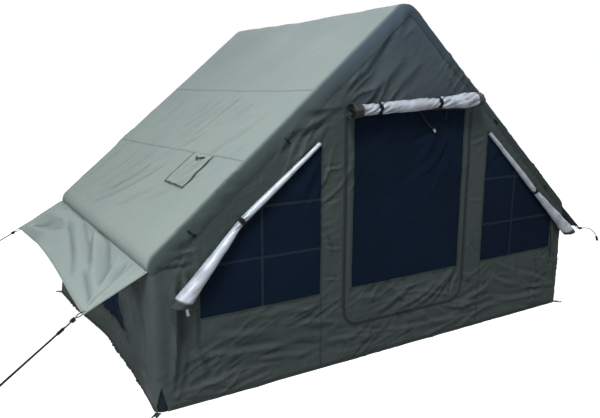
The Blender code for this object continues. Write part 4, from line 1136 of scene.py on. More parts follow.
def as_sheet(
    piece: bpy.types.Object, trims: Sequence[bpy.types.Object] = (),
) -> None:
    """Works out a cloth piece's flat size in metres from its UV map, and keeps none of it.

    Args:
        piece: The cloth.
        trims: The tapes sewn on it; not used.
    """
    flat = np.array([loop.uv for loop in piece.data.uv_layers["UVMap"].data])
    area = 0.0
    for face in piece.data.polygons:
        x, y = flat[list(face.loop_indices)].T
        area += abs(float(x @ np.roll(y, -1) - y @ np.roll(x, -1))) / 2
    spans = []
    for angle in np.radians(np.arange(0, 90, 5)):
        turned = flat @ np.array([[math.cos(angle), -math.sin(angle)], [math.sin(angle), math.cos(angle)]])
        spans.append(turned.max(axis=0) - turned.min(axis=0))
    wide, tall = (float(side) for side in min(spans, key=lambda sides: sides[0] * sides[1]))
    area = min(max(area, 0.301 * wide * tall), wide * tall)


def sewn(
    name: str, route: Sequence[Pair], width: float, surface: Callable[[np.ndarray], Placed],
    finish: Finish = HEM, body: Body = Body.TENT, slot: str = "wall_cloth", nodes: Sequence[str] = (),
    above: float = TAPE_LIFT, bulge: float = 0.0, thickness: float = TAPE_THICKNESS, spacing: float = 0.012,
) -> bpy.types.Object:
    """A tape sewn on a surface along a route.

    Args:
        name: The piece's name.
        route: Its middle line in the surface's plane.
        width: Its width.
        surface: Gives the places of points in that plane.
        finish: Its finish.
        body: What it moves with.
        slot: Its material slot.
        nodes: CAD nodes that it replaces.
        above: How far its face lies above the surface.
        bulge: How much further its middle stands out.
        thickness: Its thickness.
        spacing: About the distance between its cross lines.

    Returns:
        The piece.
    """
    band = Cloth.band(route, width, spacing)
    along = band.uv[:, 0]
    placed = surface(band.flat).lifted(above + bulge * np.sin(np.pi * along / along.max()))
    return dress(band.make(name, placed, [finish], thickness), body, slot, *nodes)


def solid_piece(name: str, bm: bmesh.types.BMesh, finish: Finish) -> bpy.types.Object:
    """A closed mesh, which is used up, as a piece.

    Args:
        name: The piece's name.
        bm: The mesh.
        finish: Its finish.

    Returns:
        The object.
    """
    bmesh.ops.remove_doubles(bm, verts=bm.verts, dist=1e-6)
    bmesh.ops.recalc_face_normals(bm, faces=bm.faces)
    mesh = bpy.data.meshes.new(name)
    bm.to_mesh(mesh)
    bm.free()
    mesh.shade_smooth()
    mesh.set_sharp_from_angle(angle=math.radians(38))
    return show(name, mesh, finish)


class Skin:
    """The tent's outer surface: where roof, walls and gables lie, and how their cloth is creased."""

    roof_creases = fold_lines(
        (-212, 719, -60, 1197, 20, 9, 10), (-265, 709, 48, 1225, 15, 6, -12), (-160, 715, 100, 1200, 20, 6, 12),
        (-50, 720, 160, 1100, 15, 4, 10), (178, 724, 169, 1020, 18, 4, 10), (-472, 715, -400, 1050, 20, 4, 10),
        (-777, 835, -528, 1260, 25, 5, 20), (-360, 740, -200, 1180, 18, -5, 10), (-243, 1050, -118, 1215, 13, 6),
        (2, 1244, 360, 1750, 20, 9, 30), (-223, 1256, 324, 1805, 19, 8, 30), (-60, 1250, 420, 1760, 15, 6, 20),
        (192, 1258, 450, 1690, 18, 7, 12), (258, 1250, 500, 1700, 14, 6, 10), (450, 1240, 660, 1700, 20, 6, 20),
        (814, 1200, 930, 1740, 25, 7, 10), (-337, 1514, -30, 1760, 18, 5, 10), (-720, 1300, -320, 1660, 20, 4, 20),
        (-900, 1050, -750, 1350, 20, -4, 10), (600, 750, 680, 1200, 22, 4, 10), (380, 720, 440, 1150, 22, 3.5, 10),
    )
    front_creases = (
        *fold_lines(
            (-430, 1455, -780, 1440, 20, 6, 10), (-500, 1430, -800, 1320, 22, 7, 12),
            (-530, 1380, -790, 1140, 22, 6, 10), (-570, 1330, -700, 1100, 15, 4, 10),
            (-190, 1760, -460, 1540, 30, 6, 20), (-120, 1860, -320, 1660, 20, 5, 10),
            (-20, 1740, -320, 1490, 35, 5, 20), (100, 1700, -140, 1520, 30, 4, 10),
            (160, 1780, 360, 1550, 30, 4, -10), (-1455, 800, -1250, 875, 13, 6, 10),
            (-1460, 763, -1270, 790, 12, 6, 6), (-1420, 860, -1200, 960, 13, 5, 8),
            (-1340, 930, -1100, 1060, 14, 5, 10), (-1460, 720, -1300, 720, 12, -5),
            (-1348, 700, -1335, 450, 14, 6, 10), (-1307, 560, -1303, 280, 12, 5, 6),
            (-1400, 660, -1430, 80, 20, 13, 12), (-1360, 340, -1410, 40, 16, 6, 10),
            (-1310, 300, -1260, 100, 18, 5, 10), (-1280, 260, -700, 200, 20, 8, -20),
            (-1431, 83, -1020, 130, 18, 7, -12), (-1200, 340, -860, 300, 22, 6, -12),
            (-1000, 150, -550, 90, 18, 6, 10), (-720, 300, -420, 240, 18, 6, 10), (-520, 160, -100, 100, 18, 6, 10),
            (-900, 400, -620, 360, 18, 4, 8), (-100, 130, 400, 100, 18, 6, -12), (440, 200, 780, 160, 20, 8, -15),
            (512, 200, 763, 260, 18, 7, -10), (540, 120, 900, 100, 18, 6, 10), (800, 150, 1320, 120, 20, 8, -20),
            (740, 340, 1050, 220, 20, 6, -15), (1020, 300, 1400, 170, 20, 6, 15), (1170, 400, 1240, 200, 22, 5, 10),
            (980, 420, 1020, 240, 20, 4, 10), (1400, 660, 1420, 100, 18, 6, -10), (-565, 1118, -430, 1130, 9, 5),
            (-565, 930, -430, 950, 10, 3), (-565, 700, -430, 670, 9, 4), (-565, 520, -430, 500, 8, 4),
            (-560, 800, -500, 640, 10, 4), (510, 1200, 660, 1240, 12, 4), (510, 860, 660, 840, 10, 3),
            (520, 600, 650, 440, 14, 4), (423, 410, 60, 215, 20, 9, 12), (306, 370, -60, 235, 18, 7, 12),
            (440, 420, 220, 220, 16, 7, 10), (120, 410, -200, 250, 20, 5, 12), (-340, 370, -100, 330, 20, 5, 10),
            (450, 440, 400, 240, 12, -6),
        ),
        *scattered(21, 30, ((-1.35, 0.03), (1.35, 0.18)), 4, 16, (0.12, 0.4), 0.014, 0.004),
        *scattered(22, 16, ((-1.35, 0.15), (1.35, 0.4)), -8, 25, (0.12, 0.35), 0.016, 0.0035),
        *scattered(23, 10, ((-1.42, 0.4), (-1.3, 0.9)), 88, 20, (0.08, 0.2), 0.01, 0.003),
    )
    back_creases = (
        *scattered(31, 26, ((-1.35, 0.04), (1.35, 0.4)), 4, 22, (0.15, 0.5), 0.018, 0.006),
        *scattered(32, 18, ((-0.9, 0.6), (0.9, 1.3)), 60, 30, (0.2, 0.6), 0.03, 0.005),
        *scattered(33, 8, ((-0.25, 1.4), (0.25, 1.75)), 70, 30, (0.1, 0.3), 0.02, 0.004),
    )
    right_creases = (
        *scattered(11, 22, ((-0.9, 0.75), (0.9, 1.2)), 74, 12, (0.25, 0.45), 0.019, 0.005),
        *scattered(12, 22, ((-0.9, 1.3), (0.9, 1.72)), 70, 12, (0.2, 0.45), 0.019, 0.006),
    )
    upper_creases = scattered(5, 12, ((-0.9, 0.1), (0.9, 0.62)), 80, 16, (0.2, 0.4), 0.03, 0.002)
    wall_creases = {
        Side.LEFT: (
            *fold_lines(
                (-584, 500, -700, 200, 20, 7, 10), (-773, 600, -860, 150, 22, 9, 10),
                (-860, 580, -930, 200, 20, -7, 10), (-950, 500, -990, 40, 18, 6), (-640, 220, -200, 100, 22, 6, 10),
            ),
            *scattered(3, 12, ((-0.9, 0.05), (0.9, 0.2)), 8, 18, (0.15, 0.4), 0.02, 0.005),
            *scattered(4, 10, ((0.4, 0.2), (0.98, 0.6)), 85, 15, (0.2, 0.4), 0.02, 0.005),
        ),
        Side.RIGHT: (
            *scattered(7, 14, ((-0.9, 0.05), (0.9, 0.2)), 5, 18, (0.15, 0.45), 0.02, 0.005),
            *scattered(8, 10, ((-0.98, 0.2), (-0.5, 0.6)), 92, 15, (0.2, 0.4), 0.02, 0.005),
            *scattered(9, 10, ((0.5, 0.2), (0.98, 0.6)), 88, 15, (0.2, 0.4), 0.02, 0.005),
        ),
    }
    roof_strength, upper_strength, wall_strength, front_strength = 1.85, 0.4, 2.1, 1.9
    roof_runs = Wrinkles(66, 0.6, 0.085, 4.0)
    roof_fines = Wrinkles(74, 0.4, 0.05, 14.0, 0.003)
    edge_runs = Wrinkles(74, 0.16, 0.05, 21.0, 0.012)
    edge_fines = Wrinkles(60, 0.12, 0.03, 23.0, 0.005)
    wall_uprights = Wrinkles(84, 0.3, 0.055, 6.0, 0.014)
    wall_levels = Wrinkles(10, 0.3, 0.08, 7.0, 0.004)
    skirt_runs = Wrinkles(-6, 0.3, 0.08, 2.0, 0.014)
    gable_fines = Wrinkles(24, 0.2, 0.05, 3.0)
    upper_runs = Wrinkles(50, 0.35, 0.07, 8.0, 0.012)
    seams = ((0.695, 0.705), (1.222, 1.285))
    window = ((-0.6, 0.22), (0.6, 0.22), (0.36, 0.58), (-0.36, 0.58))
    peg_pull = (-0.06, 0.0, 0.0)

    def __init__(self, sizes: TentSizes) -> None:
        """Works out the cross-section.

        Args:
            sizes: The tent's sizes.
        """
        self.sizes = sizes
        self.normal_angle = math.pi / 2 - sizes.slope
        self.ridge_arc = sizes.skin_radius * sizes.slope
        self.eave_turn = self.normal_angle + sizes.eave_tuck
        self.top = -self.ridge_arc - sizes.ridge_flat
        self.foot = sizes.slope_length + sizes.skin_radius * self.eave_turn
        self.wall_top = sizes.seam_z - SEAM_SLACK
        self.roof_reach = self.reach_of(sizes.rafter_edge)
        self.wall_reach = self.reach_of(sizes.wall_edge)

    def reach_of(self, edge: float) -> float:
        """Half a panel's length across the tent, round a gable edge of that radius and with its seam margin."""
        return self.sizes.gable_y - edge + edge * math.pi / 2 + self.sizes.seam_margin

    def wrapped(
        self, across: np.ndarray, line: np.ndarray, out: np.ndarray, edges: np.ndarray, usual: float, side: Side,
    ) -> Placed:
        """A cross-section's cloth, wrapped round both gable edges.

        Args:
            across: Distances along the tent, in the cloth.
            line: The cross-section's points (x, z).
            out: Its outward directions.
            edges: Its gable edge radii.
            usual: The edge radius that across is measured with.
            side: Which side of the tent.

        Returns:
            The places.
        """
        depth = self.sizes.gable_y
        end = np.sign(across)
        beyond = np.abs(across) - (depth - usual)
        angle = np.clip(beyond / usual, 0.0, math.pi / 2)
        margin = np.clip(beyond - usual * math.pi / 2, 0.0, None)
        reach = depth - edges
        y = np.where(beyond <= 0, across * reach / (depth - usual), end * (reach + edges * np.sin(angle)))
        turned = np.cos(angle)
        place = line - out * (edges * (1 - turned) + margin)[:, None]
        facing = np.stack([side * out[:, 0] * turned, end * np.sin(angle), out[:, 1] * turned], axis=1)
        return Placed(np.stack([side * place[:, 0], y, place[:, 1]], axis=1), facing)

    def edge_angle(self, across: np.ndarray) -> np.ndarray:
        """How far the roof has turned round its gable edge, up to a quarter turn."""
        edge = self.sizes.rafter_edge
        return np.clip((np.abs(across) - self.sizes.gable_y + edge) / edge, 0.0, math.pi / 2)

    def roof_section(self, down: np.ndarray) -> tuple[np.ndarray, np.ndarray, np.ndarray]:
        """The roof's cross-section at distances down the slope; 0 is where the ridge arc ends.

        Args:
            down: Distances down the slope.

        Returns:
            Points (x, z), outward directions (x, z) and gable edge radii.
        """
        s = self.sizes
        ridge_turn = np.clip(-down / s.skin_radius, 0.0, s.slope)
        eave_turn = np.clip((down - s.slope_length) / s.skin_radius, 0.0, self.eave_turn)
        angle = self.normal_angle + ridge_turn - eave_turn
        radial = np.stack([np.cos(angle), np.sin(angle)], axis=1)
        ridge = np.array([s.ridge_flat, s.ridge_tube_height])
        eave = np.array([s.eave_x, s.eave_tube_height])
        points = ridge + (eave - ridge) * np.clip(down / s.slope_length, 0.0, 1.0)[:, None] + radial * s.skin_radius
        points[:, 0] -= np.clip(-down - self.ridge_arc, 0.0, None)
        share = eave_turn / self.eave_turn
        turn = np.where(eave_turn > 0, self.normal_angle * (1 - share), angle)
        out = np.stack([np.cos(turn), np.sin(turn)], axis=1)
        return points, out, blend_values(s.rafter_edge, s.wall_edge, share)

    def even_roof(self, side: Side, flat: np.ndarray) -> Placed:
        """The roof without its creases, at places in its cloth."""
        return self.wrapped(flat[:, 0], *self.roof_section(flat[:, 1]), self.sizes.rafter_edge, side)

    def roof(self, side: Side, flat: np.ndarray) -> Placed:
        """The creased roof.

        Args:
            side: Which roof panel.
            flat: Places in the cloth: along the tent, and down the slope.

        Returns:
            The places.
        """
        s = self.sizes
        across, down = flat.T
        even = self.even_roof(side, flat)
        creases = self.roof_creases if side is Side.LEFT else self.right_creases
        lift = creased(flat, creases) * self.roof_strength + creased(flat, self.upper_creases) * self.upper_strength
        middle = np.clip(down / s.slope_length, 0.0, 1.0)
        along = np.clip(1 - np.abs(across) / s.gable_y, 0.0, 1.0)
        sag = 0.009 * np.sin(np.pi * middle) ** 2 * np.sin(np.pi * along / 2) ** 0.5
        sag += 0.013 * along**0.7 * (1 - smooth_step(down, 0.0, 0.5))
        low = smooth_step(down, 0.45, 0.9) * (0.45 + 0.55 * smooth_step(across, -0.8, -0.3))
        soft = rolling(even.points, (0.34, 0.22, 0.3), 3.1 + side) * 0.006
        soft += self.roof_runs.lift(flat, side) * (0.001 + 0.008 * low) + self.roof_fines.lift(flat, side) * low
        edge = smooth_step(s.gable_y - np.abs(even.points[:, 1]), 0.0, 0.12)
        eave = 1 - smooth_step(down, s.slope_length + 0.03, s.slope_length + 0.08)
        puckers = rolling(even.points, (0.05, 0.02, 0.05), 8.0) * 0.0014
        for front, back in self.seams:
            away = down - blend_values(front, back, across / s.depth + 0.5)
            lift = lift * (1 - 0.6 * bell(away, 0.012)) + puckers * bell(away, 0.035)
        angle = self.edge_angle(across)
        bent = self.edge_runs.lift(flat, side) + self.edge_fines.lift(flat)
        bent *= np.sin(2 * angle) * (0.3 + 0.7 * smooth_step(down, 0.4, 1.3))
        return even.lifted((lift + soft) * edge * eave - sag + bent + self.gable_lift(even.points) * np.sin(angle) ** 2)

    def wall(self, side: Side, flat: np.ndarray) -> Placed:
        """A creased side wall.

        Args:
            side: Which wall.
            flat: Places in the cloth: along the tent, and height.

        Returns:
            The places.
        """
        s = self.sizes
        across, height = flat.T
        share = 1 - height / s.seam_z
        top = np.array([s.seam_x, self.wall_top])
        line = top + (np.array([s.width / 2, 0.0]) - top) * share[:, None]
        out = np.tile([1.0, 0.0], (len(flat), 1))
        even = self.wrapped(across, line, out, np.full(len(flat), s.wall_edge), s.wall_edge, side)
        along = np.clip((across / (s.gable_y - s.wall_edge) + 1) / 2, 0.0, 1.0)
        waist = s.foot_waist * 4 * along * (1 - along) * share**2
        lift = creased(flat, self.wall_creases[side]) * self.wall_strength - 0.002
        lift += rolling(even.points, (0.3, 0.14, 0.2), 5.3 + side) * 0.006
        fine = self.wall_uprights.lift(flat, side) + self.wall_levels.lift(flat, side)
        lift += fine if side is Side.LEFT else 0.35 * fine
        edge = smooth_step(s.gable_y - np.abs(even.points[:, 1]), 0.0, 0.06)
        lift = self.clear_of_tray(lift, height) * edge + self.gable_lift(even.points) * (1 - edge)
        return self.pulled(even.lifted(lift * (1 - smooth_step(height, 0.6, 0.7)) - waist))

    def gable_lift(self, points: np.ndarray) -> np.ndarray:
        """How far the gables' cloth stands off their planes at any place of the skin.

        Args:
            points: Places in space.

        Returns:
            The outward lift at each place.
        """
        s = self.sizes
        flat = points[:, [0, 2]]
        height = points[:, 2]
        front = creased(flat, self.front_creases) * self.front_strength + rolling(points, (0.2, 9.0, 0.24), 1.7) * 0.005
        back = creased(flat, self.back_creases) + rolling(points, (0.3, 9.0, 0.3), 7.7) * 0.006
        skirt = 1 - smooth_step(height, 0.3, 0.5)
        fine = self.skirt_runs.lift(flat) * skirt + self.gable_fines.lift(flat) * (0.006 * skirt + 0.0035)
        fine += self.upper_runs.lift(flat) * smooth_step(height, 0.75, 1.1)
        fine *= 1 - 0.6 * smooth_step(np.abs(points[:, 0]), 1.28, 1.42)
        sideways = np.abs(points[:, 0] - s.front_offset)
        beside = sideways - s.door_half + s.door_corner
        under = s.door_bottom + s.door_corner - height
        from_zip = np.hypot(np.maximum(beside, 0), np.maximum(under, 0)) + np.minimum(np.maximum(beside, under), 0)
        zip_line = bell(from_zip - s.door_corner, 0.03) * (1 - smooth_step(height, 0.95, 1.15))
        header = bell(height - s.peak_seam, 0.03) * (1 - smooth_step(sideways, s.door_half, s.door_half + 0.08))
        front = (front + fine) * (1 - 0.88 * np.maximum(zip_line, header))
        foot = smooth_step(height, 0.0, 0.05) * 0.5 + 0.5
        return self.clear_of_tray(np.where(points[:, 1] < 0, front, back + fine * 0.8) * foot, height)

    def pulled(self, placed: Placed) -> Placed:
        """Draws the cloth at the back left foot out towards its peg.

        Args:
            placed: Places of the skin.

        Returns:
            The drawn places.
        """
        x, y, z = placed.points.T
        share = smooth_step(-x, 1.15, 1.45) * smooth_step(y, -0.15, 0.75) * (1 - smooth_step(z, 0.0, 0.36))
        return Placed(placed.points + share[:, None] * np.array(self.peg_pull), placed.out)

    @staticmethod
    def clear_of_tray(lift: np.ndarray, height: np.ndarray) -> np.ndarray:
        """The folds' lift, kept in front of the groundsheet's upstand at heights near the ground."""
        return np.maximum(lift, -0.0012 - 0.15 * np.clip(height - 0.125, 0.0, None))

    def gable(self, end: End, flat: np.ndarray) -> Placed:
        """A creased gable.

        Args:
            end: Which gable.
            flat: Places in its plane: sideways, and height.

        Returns:
            The places.
        """
        points = np.insert(flat, 1, end * self.sizes.gable_y, axis=1)
        out = np.tile([0.0, float(end), 0.0], (len(flat), 1))
        return self.pulled(Placed(points, out).lifted(self.gable_lift(points)))

    def gable_outline(self, shrink: float = 0.0) -> list[Pair]:
        """The flat part of a gable inside its rounded edges.

        Args:
            shrink: How far inside it.

        Returns:
            Corners (x, z) from the right foot to the left one.
        """
        s = self.sizes
        depth = s.wall_edge + s.seam_margin + shrink
        apart = [(s.width / 2 - depth, 0.0)]
        rows = [*np.linspace(self.foot, s.slope_length, 7), *np.linspace(0.0, -self.ridge_arc, 4)]
        line, out, edges = self.roof_section(np.array(rows))
        place = line - out * (edges + s.seam_margin + shrink)[:, None]
        for x, z in [(s.seam_x - depth, self.wall_top), *place.tolist()]:
            if x > 3e-4 and math.dist((x, z), apart[-1]) > 6e-4:
                apart.append((x, z))
        return apart + [(-x, z) for x, z in reversed(apart)]


class OnSkin:
    """A part of the tent that lies on its skin or just inside it."""

    def __init__(self, skin: Skin) -> None:
        """Takes the skin."""
        self.skin = skin
        self.sizes = skin.sizes

    def front(self, flat: np.ndarray) -> Placed:
        """The front gable at places in its plane."""
        return self.skin.gable(End.FRONT, flat)

    @staticmethod
    def net(name: str, cloth: Cloth, placed: Placed, node: str, body: Body = Body.TENT) -> bpy.types.Object:
        """A pane of insect net.

        Args:
            name: The piece's name.
            cloth: Its cloth.
            placed: Where the skin lies there.
            node: The CAD node that it replaces.
            body: What it moves with.

        Returns:
            The piece.
        """
        return dress(cloth.make(name, placed.lifted(NET_LIFT), [NET], NET_THICKNESS), body, "mesh", node)


class Canopy(OnSkin):
    """The roof: two panels wrapped over ridge, rafters and eaves, their seams and the port cover."""

    grid = 0.0125
    seam_width = 0.009
    seam_thickness = 0.0006
    # How much painted shade the roof gets where it turns under the eave.
    eave_painted_shade = 0.62
    port_grid = 0.009
    hinge_gap = 0.005
    binding_inset = 0.005
    port_top = 1.233
    port_y = -0.541
    port_size = (0.25, 0.272)
    port_folds = (
        Crease((-0.118, 0.026), (0.082, 0.219), 0.009, 0.007),
        Crease((-0.05, 0.02), (0.10, 0.17), 0.014, 0.004, 0.01),
        Crease((0.05, 0.04), (0.118, 0.20), 0.012, 0.005),
    )

    def build(self) -> None:
        """Builds both panels with their seams, the ridge seam and the port cover."""
        skin = self.skin
        reach = skin.roof_reach
        seam_end = self.sizes.gable_y - 0.055
        seams = {"roof_seam_1": skin.seams[0], "roof_seam_2": skin.seams[1], "ridge_seam": (skin.top + 0.005,) * 2}
        for side in Side:
            cloth = Cloth.cut(rectangle(-reach, skin.top, reach, skin.foot), self.grid)
            # Painted shade: the roof's colour is blended to the dark turned tone as it turns round a gable edge, and
            # partly under the eave.
            tuck = (cloth.flat[:, 1] - self.sizes.slope_length) / self.sizes.skin_radius
            turn = smooth_step(skin.edge_angle(cloth.flat[:, 0]), math.radians(2), math.radians(40))
            turn = np.maximum(turn, self.eave_painted_shade * smooth_step(tuck, 0.45, 1.15))
            placed = skin.roof(side, cloth.flat)
            panel = cloth.make(f"roof_cloth_{side.word}", placed, [ROOF, INNER], marks={PAINTED_TURN_SHADE_MARK: turn})
            dress(panel, Body.TENT, "roof_cloth", f"roof_panel_{side.word}")
            trims = [
                sewn(
                    f"{name}_{side.word}", [(-seam_end, front), (seam_end, back)], self.seam_width,
                    lambda flat, side=side: skin.roof(side, flat), PALE_HEM, slot="roof_cloth",
                    above=self.seam_thickness, thickness=self.seam_thickness,
                )
                for name, (front, back) in seams.items()
            ]
            as_sheet(panel, trims)
        self.build_port_cover()

    def port_surface(self, flat: np.ndarray) -> Placed:
        """The port cover's outer face.

        Args:
            flat: Places on it: along the tent from its middle line, and down from its upper edge.

        Returns:
            The places.
        """
        wide = self.port_size[1]
        on_roof = flat + np.array([self.port_y, self.port_top])
        free = smooth_step(flat[:, 1], 0.0, 0.03)
        hem = 0.001 * smooth_step(np.abs(flat[:, 0]), wide / 2 - 0.014, wide / 2 - 0.011)
        over = Placed(self.skin.roof(Side.LEFT, on_roof).points, self.skin.even_roof(Side.LEFT, on_roof).out)
        return over.lifted(0.0028 + hem + creased(flat, self.port_folds) * free + 0.003 * free)

    def build_port_cover(self) -> None:
        """The flap over the flue port, its binding and its pull loop."""
        tall, wide = self.port_size
        half = wide / 2
        cloth = Cloth.cut(rectangle(-half, self.hinge_gap, half, tall), self.port_grid)
        cover = cloth.make("port_flap", self.port_surface(cloth.flat), [ROOF, INNER])
        dress(cover, Body.PORT, "roof_cloth", "roof_port_cover")
        inner, tip, root = half - self.binding_inset, tall - self.binding_inset, self.hinge_gap + 0.002
        route = [(-inner, root), (-inner, tip), (inner, tip), (inner, root)]
        binding = sewn(
            "port_flap_binding", route, self.seam_width, self.port_surface, body=Body.PORT, slot="roof_cloth",
            above=0.0009, thickness=0.0008,
        )
        route = [(-0.05, 0.028), (-0.02, 0.05), (0.02, 0.052), (0.055, 0.034)]
        loop = sewn(
            "port_flap_loop", route, 0.012, self.port_surface, WEBBING, Body.PORT, "strap", above=0.003, bulge=0.008,
            thickness=0.0014,
        )
        as_sheet(cover, [binding, loop])


class SideWalls(OnSkin):
    """The two long side walls with their mesh windows."""

    grid = 0.013
    net_grid = 0.02

    def build(self) -> None:
        """Builds both walls, their nets, window bindings and foot hems."""
        skin = self.skin
        reach = skin.wall_reach
        outline = rectangle(-reach, 0.0, reach, skin.wall_top)
        corner = self.sizes.wall_edge - self.sizes.gable_y
        slit = [(corner - 0.088, -0.001), (corner - 0.018, -0.001), (corner - 0.055, 0.13)]
        pane = [(y * 1.02, 0.4 + (z - 0.4) * 1.06) for y, z in skin.window]
        routes = {
            "binding": [*skin.window, skin.window[0]],
            "foot_hem": [(-reach + 0.05, HEM_HEIGHT), (reach - 0.05, HEM_HEIGHT)],
        }
        for side in Side:
            word = side.word
            cloth = Cloth.cut(outline, self.grid, [list(skin.window)] + ([slit] if side is Side.LEFT else []))
            wall = cloth.make(f"wall_cloth_{word}", skin.wall(side, cloth.flat), [WALL, INNER])
            dress(wall, Body.TENT, "wall_cloth", f"wall_{word}")
            cloth = Cloth.cut(pane, self.net_grid)
            net = self.net(f"side_net_{word}", cloth, skin.wall(side, cloth.flat), f"side_window_mesh_{word}")
            as_sheet(net)
            trims = [
                sewn(f"side_{label}_{word}", route, HEM_WIDTH, lambda flat, side=side: skin.wall(side, flat))
                for label, route in routes.items()
            ]
            as_sheet(wall, trims)


class FrontGable(OnSkin):
    """The gable with the door: its sewn panels, windows, door leaf and zip."""

    grid = 0.0085
    window_grid = 0.016
    door_grid = 0.014
    binding = 0.011
    net_tape = 0.014
    zip_width = 0.016
    zip_lift = 0.0014
    teeth_width = 0.0055
    teeth_lift = 0.0024
    zip_top = TENT.peak_seam - 0.032
    window_tapes = {Side.LEFT: (-0.929, (0.70, 0.965)), Side.RIGHT: (0.946, (0.68, 0.978))}

    def panel(self, name: str, outline: Sequence[Pair], node: str, body: Body = Body.TENT, **options) -> None:
        """A panel of the gable.

        Args:
            name: The piece's name.
            outline: Its corners (x, z).
            node: The CAD node that it replaces.
            body: What it moves with.
            options: Holes for the cut.
        """
        cloth = Cloth.cut(outline, self.grid, **options)
        piece = dress(cloth.make(name, self.front(cloth.flat), [WALL, INNER]), body, "wall_cloth", node)
        as_sheet(piece)

    def build(self) -> None:
        """Builds the panels, windows, door and seams."""
        s = self.sizes
        whole = self.skin.gable_outline()
        below = clip(whole, (0.0, s.peak_seam), (0.0, -1.0))
        self.panel("peak_cloth", clip(whole, (0.0, s.peak_seam), (0.0, 1.0)), "front_peak_panel")
        for side in Side:
            self.build_side(side, below)
        edge = self.door_outline()[1:-1]
        self.panel("threshold_cloth", [*edge, (edge[-1][0], 0.0), (edge[0][0], 0.0)], "door_threshold")
        rafters = [p for p in self.skin.gable_outline(-0.001) if p[1] > s.seam_z - 0.02]
        sewn("rafter_seam", rafters, 0.008, self.front, above=0.0007)
        sewn("front_foot_hem", [(-HEM_REACH, HEM_HEIGHT), (HEM_REACH, HEM_HEIGHT)], HEM_WIDTH, self.front)
        self.build_door()
        route = self.door_outline(top=self.zip_top)
        sewn(
            "zip_cloth_tape", route, self.zip_width, self.front, ZIP_TAPE, slot="strap", nodes=["door_zip_tape"],
            above=self.zip_lift,
        )
        sewn("zip_teeth", route, self.teeth_width, self.front, ZIP_TEETH, above=self.teeth_lift, slot="zip_metal")

    def build_side(self, side: Side, below: Sequence[Pair]) -> None:
        """Builds the panels and the window on one side of the door.

        Args:
            side: Which side.
            below: The gable's outline below the peak panel.
        """
        s = self.sizes
        word = side.word
        inner, outer, jamb = (s.front_offset + side * x for x in (s.window_inner, s.window_outer, s.door_half))
        beyond = clip(below, (inner, 0.0), (side, 0.0))
        rake = (side * math.sin(s.slope), math.cos(s.slope))
        above = clip(clip(beyond, (inner, s.window_top), rake), (0.0, s.window_shoulder), (0.0, 1.0))
        self.panel(f"rafter_cloth_{word}", above, f"front_rafter_panel_{word}")
        lower = clip(beyond, (0.0, s.window_shoulder), (0.0, -1.0))
        over = s.window_shoulder + 0.02
        under = inner - side * 0.02
        opening = rectangle(under, s.sill, outer, over)
        self.panel(f"lower_cloth_{word}", lower, f"front_wall_{word}", holes=[opening])
        post = clip(clip(below, (inner, 0.0), (-side, 0.0)), (jamb, 0.0), (side, 0.0))
        self.panel(f"post_cloth_{word}", post, f"door_post_{word}")
        window = [(inner, s.sill), (outer, s.sill), (outer, s.window_shoulder), (inner, s.window_top)]
        pane = Cloth.cut(window, self.window_grid)
        net = self.net(f"window_net_{word}", pane, self.front(pane.flat), f"front_window_mesh_{word}")
        upright, levels = self.window_tapes[side]
        top = s.window_top - math.tan(s.slope) * abs(upright - inner)
        lines = {f"net_upright_{word}": ([(upright, s.sill), (upright, top)], 0.0003)}
        for number, level in enumerate(levels, 1):
            far = min(s.window_outer, s.window_inner + (s.window_top - level) / math.tan(s.slope))
            lines[f"net_level_{word}_{number}"] = ([(inner, level), (s.front_offset + side * far, level)], 0.0002)
        tapes = [
            sewn(name, route, self.net_tape, self.front, NET_TAPE, above=lift, slot="mesh")
            for name, (route, lift) in lines.items()
        ]
        as_sheet(net, tapes)
        beside = jamb + side * 0.014
        sewn(f"window_binding_{word}", [window[3], *window[:3]], self.binding, self.front)
        sewn(f"post_seam_{word}", [(inner, s.sill), (inner, 0.02)], self.binding, self.front)
        sewn(f"jamb_edge_{word}", [(beside, s.peak_seam), (beside, 0.33)], 0.007, self.front)

    def door_outline(self, grow: float = 0.0, top: float = TENT.peak_seam - 0.002) -> list[Pair]:
        """The door leaf's edge with its rounded lower corners.

        Args:
            grow: How much wider it is all round.
            top: The height of its upper ends.

        Returns:
            Its corners (x, z), from the upper left one round the foot.
        """
        s = self.sizes
        left = s.front_offset - s.door_half - grow
        right = s.front_offset + s.door_half + grow
        radius = s.door_corner + grow
        foot = s.door_bottom - grow + radius
        lower_left = arc((left + radius, foot), radius, math.pi, 1.5 * math.pi, 8)
        lower_right = arc((right - radius, foot), radius, 1.5 * math.pi, 2 * math.pi, 8)
        return [(left, top), *lower_left, *lower_right, (right, top)]

    def build_door(self) -> None:
        """The door leaf: its cloth border with the kick panel, its net, and the border's bindings."""
        s = self.sizes
        left = s.front_offset - s.door_half + s.door_border
        right = s.front_offset + s.door_half - s.door_border
        top = s.peak_seam - 0.006
        pane = rectangle(left, s.sill, right, top)
        self.panel("door_cloth", self.door_outline(-0.0005), "door_border", Body.DOOR, holes=[pane])
        cloth = Cloth.cut(pane, self.door_grid)
        folds = (
            Crease((left, 1.15), (right, 1.32), 0.05, 0.004, 0.02),
            Crease((left, 0.70), (right - 0.2, 1.2), 0.05, 0.004, 0.02),
            Crease((left + 0.1, 0.45), (right, 0.95), 0.06, 0.004, 0.02),
        )
        slack = self.front(cloth.flat).lifted(-np.abs(creased(cloth.flat, folds)))
        as_sheet(self.net("door_net", cloth, slack, "door_mesh", Body.DOOR))
        sewn("door_binding", [*pane, pane[0]], self.binding, self.front, body=Body.DOOR)


